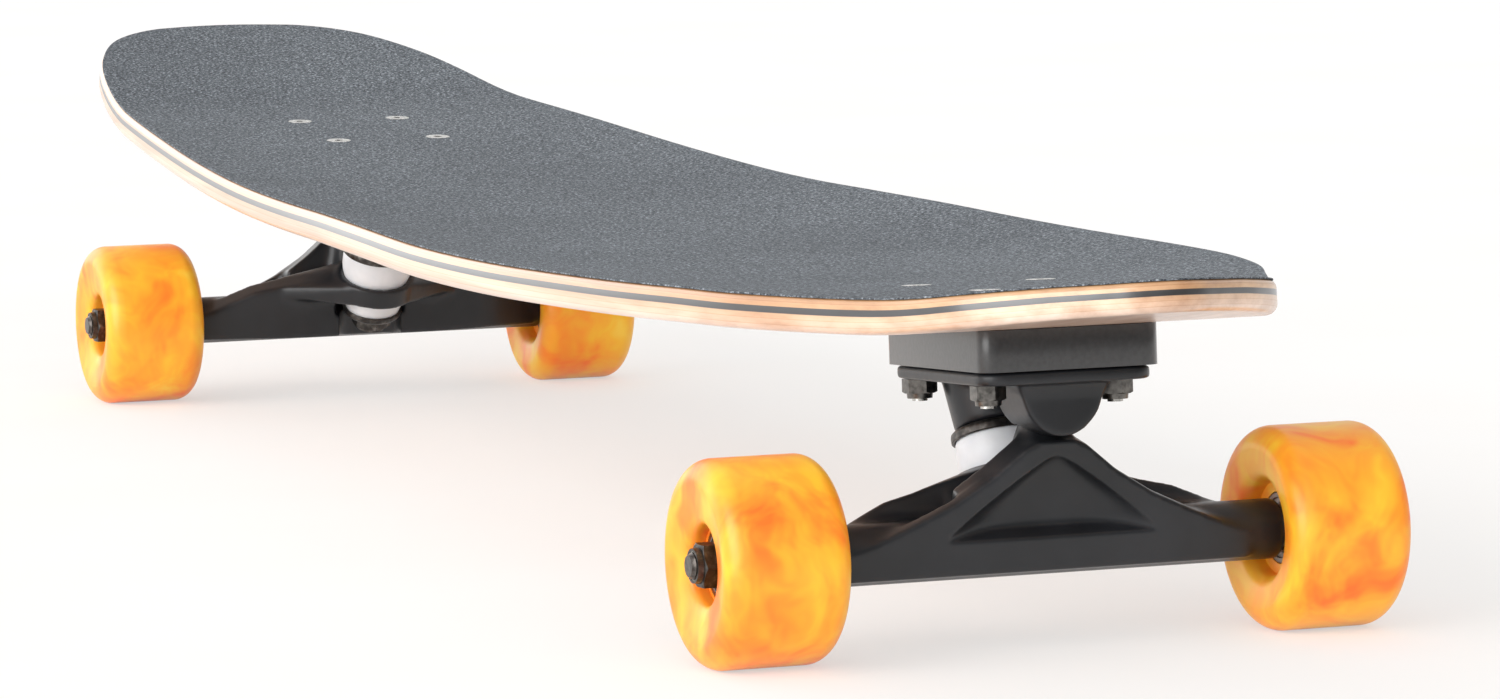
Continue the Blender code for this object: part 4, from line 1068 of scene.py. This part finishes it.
hanger_cutters += [
    hull("nut_room", nut_room),
    along_axle("axle_bore", HANGER_HALF + CUT_PAST, AXLE_RADIUS + AXLE_ROOM),
    hull("scoop", scoop),
]
hanger_mesh = cast("hanger", hanger_solids, hanger_cutters, HANGER_VOXEL, HANGER_FILLET)
dress(hanger_mesh, coated)
for end, place in TRUCKS:
    name, body = end + "_hanger_casting", end + "_hanger_set"
    set_piece(name, hanger_mesh, place, body, "black_cast_alloy", end + "_hanger")

# --------------------------------------
# Kingpins, their washers and nuts. A blackened steel bolt pressed through each baseplate, two
# pressed cup washers that hold the bushings, and a locking nut that sets how freely it steers.

WASHER_THICKNESS, WASHER_WALL, WASHER_BEND = 0.0016, 0.0011, 0.0008
KINGPIN_END, KINGPIN_THREAD = -0.0207, -0.009
POINT_DEPTH, POINT_LENGTH, HEAD_EDGE = 0.001, 0.0006, 0.0005
KINGPIN_NUT_FLATS, KINGPIN_NUT_HEIGHT = 0.0143, 0.006
BUSHING_TOP, BUSHING_FOOT = 0.0163, -0.0116
UPPER_FLAT, LOWER_FLAT = BUSHING_TOP + GAP, BUSHING_FOOT - GAP
UPPER_WASHER_RADIUS, LOWER_WASHER_RADIUS = 0.0147, 0.0118
UPPER_WASHER_RIM, LOWER_WASHER_RIM = 0.0018, 0.0013
THREAD_PITCH, THREAD_DEPTH = 0.001, 0.0004
# One turn of thread: (share of the pitch, depth) of its root and of both edges of its crest
THREAD_TURN = ((0.1, THREAD_DEPTH), (0.45, 0.0), (0.6, 0.0))

# Steel blackened in a hot bath: nearly black with brown-grey worn spots and a dull metal shine.
blackened = mottled(
    "blackened_steel", "#3A3836", 0.38, 0.9, 420.0, 4.0,
    tones=((0.38, "#3D3A38"), (0.56, "#53504D"), (0.72, "#7A7672")), gloss=(0.28, 0.52),
)


def threaded(radius, start, end):
    """A profile of thread crests and roots between two heights, running down."""
    turns = max(int(round((start - end) / THREAD_PITCH)), 1)
    pitch = (start - end) / turns
    profile = []
    for turn in range(turns):
        top = start - turn * pitch
        profile += [(radius - depth, top - share * pitch) for share, depth in THREAD_TURN]
    return profile + [(radius - THREAD_DEPTH, end)]


def flipped(profile):
    """A profile upside down, still running down."""
    return [(radius, -height) for radius, height in reversed(profile)]


def cup_washer(name, flat, rim_depth, radius):
    """A dished washer: flat at one height, its rim turned over towards the bushing."""
    toward = math.copysign(1.0, flat)
    back = flat + toward * WASHER_THICKNESS
    rim = flat - toward * rim_depth
    inside = radius - WASHER_WALL
    outer = [
        (KINGPIN_RADIUS + GAP, back),
        (radius - 0.0022, back),
        (radius - WASHER_BEND, back - toward * 0.00025),
        (radius - 0.0002, back - toward * WASHER_BEND),
        (radius, back - toward * 0.0016),
        (radius, rim + toward * 0.0003),
        (radius - 0.0003, rim),
        (inside + 0.0003, rim),
        (inside, rim + toward * 0.0003),
        (inside, flat - toward * 0.0004),
        (inside - 0.0005, flat),
        (KINGPIN_RADIUS + GAP, flat),
    ]
    return turned(name, outer, 72, True)


head_low = -HEAD_TOP - HEAD_HEIGHT
kingpin_profile = [
    (0.0, -HEAD_TOP),
    (HEAD_RADIUS - HEAD_EDGE, -HEAD_TOP),
    (HEAD_RADIUS, -HEAD_TOP - HEAD_EDGE),
    (HEAD_RADIUS, head_low),
    (KINGPIN_RADIUS, head_low),
    (KINGPIN_RADIUS, KINGPIN_THREAD),
]
kingpin_profile += threaded(KINGPIN_RADIUS, KINGPIN_THREAD, KINGPIN_END + POINT_LENGTH)
kingpin_profile += [(KINGPIN_RADIUS - POINT_DEPTH, KINGPIN_END), (0.0, KINGPIN_END)]
kingpin_mesh = turned("kingpin", kingpin_profile, 48)
nut_spot = (0.0, 0.0, LOWER_FLAT - WASHER_THICKNESS - GAP)
nut_bore = KINGPIN_RADIUS - FIT
kingpin_nut = locking_nuts([nut_spot], KINGPIN_NUT_FLATS, KINGPIN_NUT_HEIGHT, nut_bore, blackened)
upper_washer = cup_washer("upper_washer", UPPER_FLAT, UPPER_WASHER_RIM, UPPER_WASHER_RADIUS)
lower_washer = cup_washer("lower_washer", LOWER_FLAT, LOWER_WASHER_RIM, LOWER_WASHER_RADIUS)
for mesh in (kingpin_mesh, upper_washer, lower_washer):
    dress(soften(mesh), blackened)
ON_KINGPIN = {
    end: place @ Matrix.Translation(RING) @ facing(-KINGPIN_AXIS) for end, place in TRUCKS
}
for end, place in ON_KINGPIN.items():
    for name, mesh, node in (
        ("kingpin_bolt", kingpin_mesh, "kingpin"),
        ("kingpin_lock_nut", kingpin_nut, "kingpin_nut"),
        ("upper_washer", upper_washer, "upper_cup_washer"),
        ("lower_washer", lower_washer, "lower_cup_washer"),
    ):
        name, node = "%s_%s" % (end, name), "%s_%s" % (end, node)
        set_piece(name, mesh, place, "board", "black_steel", node)

# --------------------------------------
# Bushings. White urethane, cast in moulds: a barrel above the hanger's ring and a cone below it,
# squeezed on the kingpin. In use they bend as the hanger steers and push it back to the middle;
# here they are set in place at rest and do not bend.

UPPER_BUSHING = (
    (0.0124, 0.0163), (0.0131, 0.0158), (0.0137, 0.014), (0.014, 0.0115),
    (0.014, 0.0085), (0.0136, 0.0058), (0.0131, 0.0042), (0.0129, 0.0035),
)
LOWER_BUSHING = (
    (0.0126, 0.0035), (0.0126, 0.0046), (0.0122, 0.006),
    (0.0113, 0.009), (0.0107, 0.011), (0.0102, 0.0116),
)
BORE_STEPS = 8

# Cast urethane: clean white, slightly milky where light enters it, satin from the mould.
urethane = mottled(
    "cast_white_urethane", "#F0EFEC", 0.38, 0.0, 120.0, 3.0,
    {
        "Subsurface Weight": 0.12,
        "Subsurface Radius": (0.003, 0.0026, 0.0022),
        "Subsurface Scale": 1.0,
    },
    tones=((0.3, "#DDE1E6"), (0.7, "#EBEEF2")),
)
for label, outside, sign, still in (
    ("upper", UPPER_BUSHING, 1.0, BUSHING_TOP),
    ("lower", LOWER_BUSHING, -1.0, BUSHING_FOOT),
):
    bore = KINGPIN_RADIUS + GAP
    first, last = outside[0][1] * sign, outside[-1][1] * sign
    profile = [(bore, first)] + [(radius, height * sign) for radius, height in outside]
    profile += [(bore, last + (first - last) * i / BORE_STEPS) for i in range(BORE_STEPS)]
    bushing_mesh = dress(soften(turned(label + "_bushing", profile, 72, True), 50.0), urethane)
    for end, place in ON_KINGPIN.items():
        name = "%s_%s_urethane" % (end, label)
        bushing = add_object(name, moved(bushing_mesh, place, name))
        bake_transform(bushing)
        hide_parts("%s_%s_bushing" % (end, label))

# --------------------------------------
# Axles, speed washers and axle nuts. A steel rod cast into each hanger and threaded at its ends,
# thin washers on both sides of each wheel, and a locking nut that keeps the wheel on.

AXLE_HALF = 0.1131
THREAD_START = 0.0985
AXLE_NUT_START, AXLE_NUT_HEIGHT, AXLE_NUT_FLATS = 0.10485, 0.0069, 0.0127
SPEED_WASHER_RADIUS, SPEED_WASHER_THICKNESS = 0.0061, 0.001
SPEED_WASHER_AT = (0.0784, 0.1041)
AXLE_FIT = AXLE_RADIUS + FIT
AXLE_POINT_DEPTH, AXLE_POINT_LENGTH, THREAD_RUN_OUT = 0.0008, 0.0007, 0.0003

# Ground and threaded steel rod: mid grey metal, lightly oiled, darker in the thread roots.
rod = mottled(
    "ground_axle_steel", "#6E6A66", 0.32, 1.0, 600.0, 3.0,
    tones=((0.35, "#4A4542"), (0.65, "#6E6965")), gloss=(0.24, 0.42),
)

washer_sizes = {
    "Radius": SPEED_WASHER_RADIUS,
    "Bore Radius": AXLE_FIT,
    "Thickness": SPEED_WASHER_THICKNESS,
}
bore_depth = [("Bore Depth", "MULTIPLY", "Thickness", 3.0)]
tree, size = new_tree("speed_washers", washer_sizes, ["Steel"], bore_depth)
cylinders = (48, None, "Thickness", "Radius"), (48, None, "Bore Depth", "Bore Radius")
disc, opening = round_solids(tree, size, *cylinders)
flat_ring = add_node(tree, "GeometryNodeMeshBoolean", {0: disc, 1: opening}, **TAKEN)
end_tree(tree, size["Geometry"], flat_ring, size["Steel"])
washer_spots = [(0.0, 0.0, side * at) for at in SPEED_WASHER_AT for side in (-1, 1)]
washer_mesh = soften(run_tree(tree, washer_spots, {**washer_sizes, "Steel": blackened}))
upper_half = [(0.0, AXLE_HALF), (AXLE_RADIUS - AXLE_POINT_DEPTH, AXLE_HALF)]
upper_half += threaded(AXLE_RADIUS, AXLE_HALF - AXLE_POINT_LENGTH, THREAD_START)
upper_half += [(AXLE_RADIUS, THREAD_START - THREAD_RUN_OUT)]
axle_mesh = dress(soften(turned("axle", upper_half + flipped(upper_half), 48)), rod)
FLIPPED = Matrix.Rotation(math.pi, 4, "X")
nut_spot = (0.0, 0.0, -AXLE_NUT_START)
axle_nut = locking_nuts([nut_spot], AXLE_NUT_FLATS, AXLE_NUT_HEIGHT, AXLE_FIT, blackened)
axle_nut = moved(axle_nut, FLIPPED, "axle_nut")
SIDES = (("left", Matrix()), ("right", FLIPPED))
ON_AXLE = {}
for end, place in TRUCKS:
    middle = place @ Vector((AXLE_OUT, 0.0, -AXLE_DROP))
    axle_at = Matrix.Translation(middle) @ facing(Vector((0.0, 1.0, 0.0)))
    ON_AXLE[end] = axle_at
    body = end + "_hanger_set"
    set_piece(end + "_axle_rod", axle_mesh, axle_at, body, "axle_steel", end + "_axle")
    set_piece(end + "_speed_washers", washer_mesh, axle_at, body, "black_steel")
    for side, turn in SIDES:
        name, node = "%s_%s_lock_nut" % (end, side), "%s_%s_axle_nut" % (end, side)
        set_piece(name, axle_nut, axle_at @ turn, body, "black_steel", node)

# --------------------------------------
# Wheels. Soft urethane poured into a mould in two colours that swirl before they set: broad tread,
# fully rounded lips, and a funnel on each face that leads to the bearing seat.

WHEEL_RADIUS, WHEEL_HALF, WHEEL_CENTRE = 0.0315, 0.01985, 0.09135
LIP = 0.0072
TREAD_HALF = 0.006
BEARING_RADIUS, BEARING_INSIDE, BEARING_WIDTH = 0.011, 0.005, 0.007
HUB_BORE = 0.008
# The funnels of both faces: (radius, height)
OUTER_FUNNEL = (
    (0.012, 0.0145), (0.0122, 0.0162), (0.013, 0.0171), (0.0142, 0.0177), (0.017, 0.0183),
    (0.0205, 0.019),
)
INNER_FUNNEL = (
    (0.0205, -0.019), (0.0182, -0.0186), (0.017, -0.0181), (0.016, -0.0172),
    (0.015, -0.0156), (0.0146, -0.014),
)

# Poured urethane: orange with soft yellow and cream streaks some centimetres long, satin from
# the mould, with a little light passing through it.
marble, tree, shader, place = new_material(
    "marbled_orange_urethane", "#FF9438", 0.36, 0.0,
    {
        "Subsurface Weight": 0.1,
        "Subsurface Radius": (0.006, 0.0025, 0.001),
        "Subsurface Scale": 1.0,
    },
)
broad = {"Vector": place, "Scale": 30.0, "Detail": 2.0}
folds = add_node(tree, "ShaderNodeTexNoise", broad, "Color")
for terms, operation in (
    ({1: (0.5, 0.5, 0.5)}, "SUBTRACT"),
    ({1: (0.042, 0.042, 0.042), 2: place}, "MULTIPLY_ADD"),
):
    folds = add_node(tree, "ShaderNodeVectorMath", {0: folds, **terms}, operation=operation)
drawn_out = {"Vector": folds, "Scale": (62.0, 44.0, 30.0), "Rotation": (0.5, 0.3, 0.2)}
drawn = add_node(tree, "ShaderNodeMapping", drawn_out)
fine = {"Vector": drawn, "Scale": 1.0, "Detail": 3.0, "Roughness": 0.55}
swirl_stops = (
    (0.29, "#FF7420"), (0.39, "#FF9025"), (0.48, "#FFA428"),
    (0.56, "#FFB22C"), (0.64, "#FFC02F"), (0.74, "#FFCF45"),
)
vary(shader, add_node(tree, "ShaderNodeTexNoise", fine), tones=swirl_stops)

upper_lip = arc((WHEEL_RADIUS - LIP, WHEEL_HALF - LIP), LIP, 90, 4, 14)
face = BEARING_INSIDE + BEARING_WIDTH
seat = BEARING_RADIUS + FIT
wheel_profile = (
    [(HUB_BORE, BEARING_INSIDE), (seat, BEARING_INSIDE), (seat, face), (0.0119, face + 0.0002)]
    + [*OUTER_FUNNEL, *upper_lip]
    + [(WHEEL_RADIUS, height) for height in (TREAD_HALF, 0.0, -TREAD_HALF)]
    + [*flipped(upper_lip), *INNER_FUNNEL]
    + [(0.0144, -face - 0.0002), (seat, -face), (seat, -BEARING_INSIDE)]
    + [(HUB_BORE, -BEARING_INSIDE)]
)
wheel_mesh = dress(soften(turned("wheel", wheel_profile, 128, True), 40.0), marble)

# --------------------------------------
# Bearings. Two to a wheel, pressed into its hub: a ground steel outer and inner race with a black
# rubber shield sunk between them.

RACE_SHOULDER, INNER_RACE = 0.0092, 0.006
SHIELD_SINK, SHIELD_CREST = 0.0005, 0.0076
RACE_EDGE, RIM_EDGE = 0.0002, 0.0003

# Bearing steel, ground and polished: bright, with a fine mist of grinding marks.
race = mottled("ground_bearing_steel", "#85817D", 0.3, 1.0, 800.0, 2.0, gloss=(0.22, 0.38))
# Nitrile rubber shield: matt black, very slightly mottled.
shield = mottled(
    "moulded_shield_rubber", "#1E1E20", 0.6, 0.0, 500.0, 2.0,
    tones=((0.35, "#19191B"), (0.65, "#262628")),
)

half = BEARING_WIDTH / 2
sunk = half - SHIELD_SINK
upper_face = [
    (AXLE_FIT, half),
    (INNER_RACE - RACE_EDGE, half),
    (INNER_RACE, half - RACE_EDGE),
    (INNER_RACE, sunk),
    (SHIELD_CREST, sunk + RACE_EDGE),
    (RACE_SHOULDER, sunk),
    (RACE_SHOULDER, half - RACE_EDGE),
    (RACE_SHOULDER + RACE_EDGE, half),
    (BEARING_RADIUS - RIM_EDGE, half),
    (BEARING_RADIUS, half - RIM_EDGE),
]
lower_face = flipped(upper_face)
bearing_profile = lower_face[-1:] + upper_face + lower_face[:-1]
bearing_mesh = dress(soften(turned("bearing", bearing_profile, 64, True)), race, shield)
for polygon in bearing_mesh.polygons:
    radius = math.hypot(polygon.center.x, polygon.center.y)
    if INNER_RACE < radius < RACE_SHOULDER and abs(polygon.center.z) < half - FIT:
        polygon.material_index = 1

bearing_at = BEARING_INSIDE + half
bm = bmesh.new()
for along in (bearing_at, -bearing_at):
    bm.from_mesh(moved(bearing_mesh, Matrix.Translation((0.0, 0.0, along)), "bearing_copy"))
pair_mesh = dress(soften(finished(bm, "bearing_pair")), race, shield)
for end, place in ON_AXLE.items():
    for side, turn in SIDES:
        corner = "%s_%s" % (end, side)
        hub = place @ turn @ Matrix.Translation((0.0, 0.0, WHEEL_CENTRE))
        name, body, node = corner + "_urethane_wheel", corner + "_wheel_set", corner + "_wheel"
        set_piece(name, wheel_mesh, hub, body, "orange_urethane", node)
        nodes = corner + "_outer_bearing", corner + "_inner_bearing"
        set_piece(corner + "_bearings", pair_mesh, hub, body, "bearing_steel", *nodes)

# --------------------------------------
# Pivot cups and bearing spacers. A soft black cup in each housing that the hanger's pin turns in,
# and a steel tube between the two bearings of each wheel. Both are nearly hidden.

# Moulded elastomer: matt black with a faint bloom.
cup = mottled(
    "moulded_cup_elastomer", "#202022", 0.62, 0.0, 400.0, 2.0,
    tones=((0.35, "#1B1B1D"), (0.65, "#28282A")),
)
for end, place in TRUCKS:
    for name, coat in (
        ("_pivot_cup", cup),
        ("_left_bearing_spacer", rod),
        ("_right_bearing_spacer", rod),
    ):
        for slot in frame["nodes"][end + name].material_slots:
            slot.material = coat

# --------------------------------------
# Studio. A plain warm-white floor that runs out of sight, a pale sky that is brightest at the far
# left of the picture, and three broad soft lamps: the main one from the left, one from the
# camera's side and a weaker one from the far left.

FLOOR_HALF = 30.0
FLOOR_LIFT = 0.53
SKY_STRENGTH, SKY_SWING = 0.26, 0.5
BRIGHT_SIDE = (-0.8, -0.5, 0.1)
DARK_WALL = 0.12
WALLS_FROM, WALLS_TO = -0.9, 0.5
WHITE = linear("#FFFFFF")

corners = [(x * FLOOR_HALF, y * FLOOR_HALF, 0.0) for x, y in ((-1, -1), (1, -1), (1, 1), (-1, 1))]
floor_mesh = bpy.data.meshes.new("studio_floor")
floor_mesh.from_pydata(corners, [], [(0, 1, 2, 3)])
# Matt paper: warm white with faint clouds, and lifted to white where the camera sees it.
paper, tree, shader, place = new_material("matt_studio_paper", "#FEFBF8", 0.9)
fibre = add_node(tree, "ShaderNodeTexNoise", {"Vector": place, "Scale": 6.0, "Detail": 2.0})
vary(shader, fibre, tones=((0.3, "#FEF9F4"), (0.7, "#FFFDFA")))
rays = add_node(tree, "ShaderNodeLightPath").node.outputs
seen = {0: rays["Is Camera Ray"], 1: rays["Is Glossy Ray"]}
seen = add_node(tree, "ShaderNodeMath", seen, operation="MAXIMUM")
lifted = add_node(tree, "ShaderNodeMath", {0: seen, 1: FLOOR_LIFT}, operation="MULTIPLY")
glow = add_node(tree, "ShaderNodeEmission", {"Color": WHITE, "Strength": 1.0})
lit = add_node(tree, "ShaderNodeMixShader", {0: lifted, 1: shader.outputs["BSDF"], 2: glow})
feed(tree.nodes["Material Output"], {"Surface": lit})
floor = add_object("studio_floor", dress(floor_mesh, paper))
floor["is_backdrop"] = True

sky = bpy.data.worlds.new("pale_sky")
sky.use_nodes = True
tree = sky.node_tree
rays = add_node(tree, "ShaderNodeLightPath").node.outputs
camera_ray = rays["Is Camera Ray"]
seen = camera_ray
for kind in ("Is Glossy Ray", "Is Transmission Ray"):
    seen = add_node(tree, "ShaderNodeMath", {0: seen, 1: rays[kind]}, operation="MAXIMUM")
direction = {0: add_node(tree, "ShaderNodeTexCoord", out="Generated"), 1: BRIGHT_SIDE}
turned_away = add_node(tree, "ShaderNodeVectorMath", direction, "Value", operation="DOT_PRODUCT")
ends = {"Value": turned_away, "From Min": WALLS_FROM, "From Max": WALLS_TO, "To Min": DARK_WALL}
walls = add_node(tree, "ShaderNodeMapRange", ends)
white_too = add_node(tree, "ShaderNodeMath", {0: walls, 1: camera_ray}, operation="MAXIMUM")
swing = {0: walls, 1: SKY_SWING, 2: SKY_STRENGTH}
soft_light = add_node(tree, "ShaderNodeMath", swing, operation="MULTIPLY_ADD")
ends = {"Value": seen, "To Min": soft_light, "To Max": white_too}
strength = add_node(tree, "ShaderNodeMapRange", ends)
feed(tree.nodes["Background"], {"Color": WHITE, "Strength": strength})
scene.world = sky

for name, toward, strength, spread in (
    ("key_lamp", Vector((-0.3, 1.0, -0.38)), 2.3, 50.0),
    ("front_lamp", Vector((-1.0, 0.15, -0.26)), 1.6, 70.0),
    ("edge_lamp", Vector((1.0, 0.5, -0.15)), 1.0, 60.0),
):
    lamp = bpy.data.lights.new(name, "SUN")
    lamp.energy = strength
    lamp.angle = math.radians(spread)
    light = add_object(name, lamp)
    light.visible_glossy = name != "front_lamp"
    light.rotation_euler = toward.to_track_quat("-Z", "Y").to_euler()

# --------------------------------------
# Camera. A long lens off the nose end, to the board's right and higher than the deck, turned to
# the board, dipped towards it and rolled a little.

CAMERA_AT = Vector((2.07727, -0.72519, 0.30329))
CAMERA_TURN, CAMERA_DIP, CAMERA_ROLL = 1.2106117512, 0.1156612159, -0.0091875843
LENS, SENSOR = 147.0041, 36.0
lens = bpy.data.cameras.new("studio_camera")
lens.lens = LENS
lens.sensor_width = SENSOR
lens.clip_start = 0.05
lens.clip_end = 200.0
camera = add_object("studio_camera", lens)
camera.matrix_world = (
    Matrix.Translation(CAMERA_AT)
    @ Matrix.Rotation(CAMERA_TURN, 4, "Z")
    @ Matrix.Rotation(math.pi / 2 - CAMERA_DIP, 4, "X")
    @ Matrix.Rotation(CAMERA_ROLL, 4, "Z")
)
scene.camera = camera
scene.view_settings.view_transform = "Standard"

low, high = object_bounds()
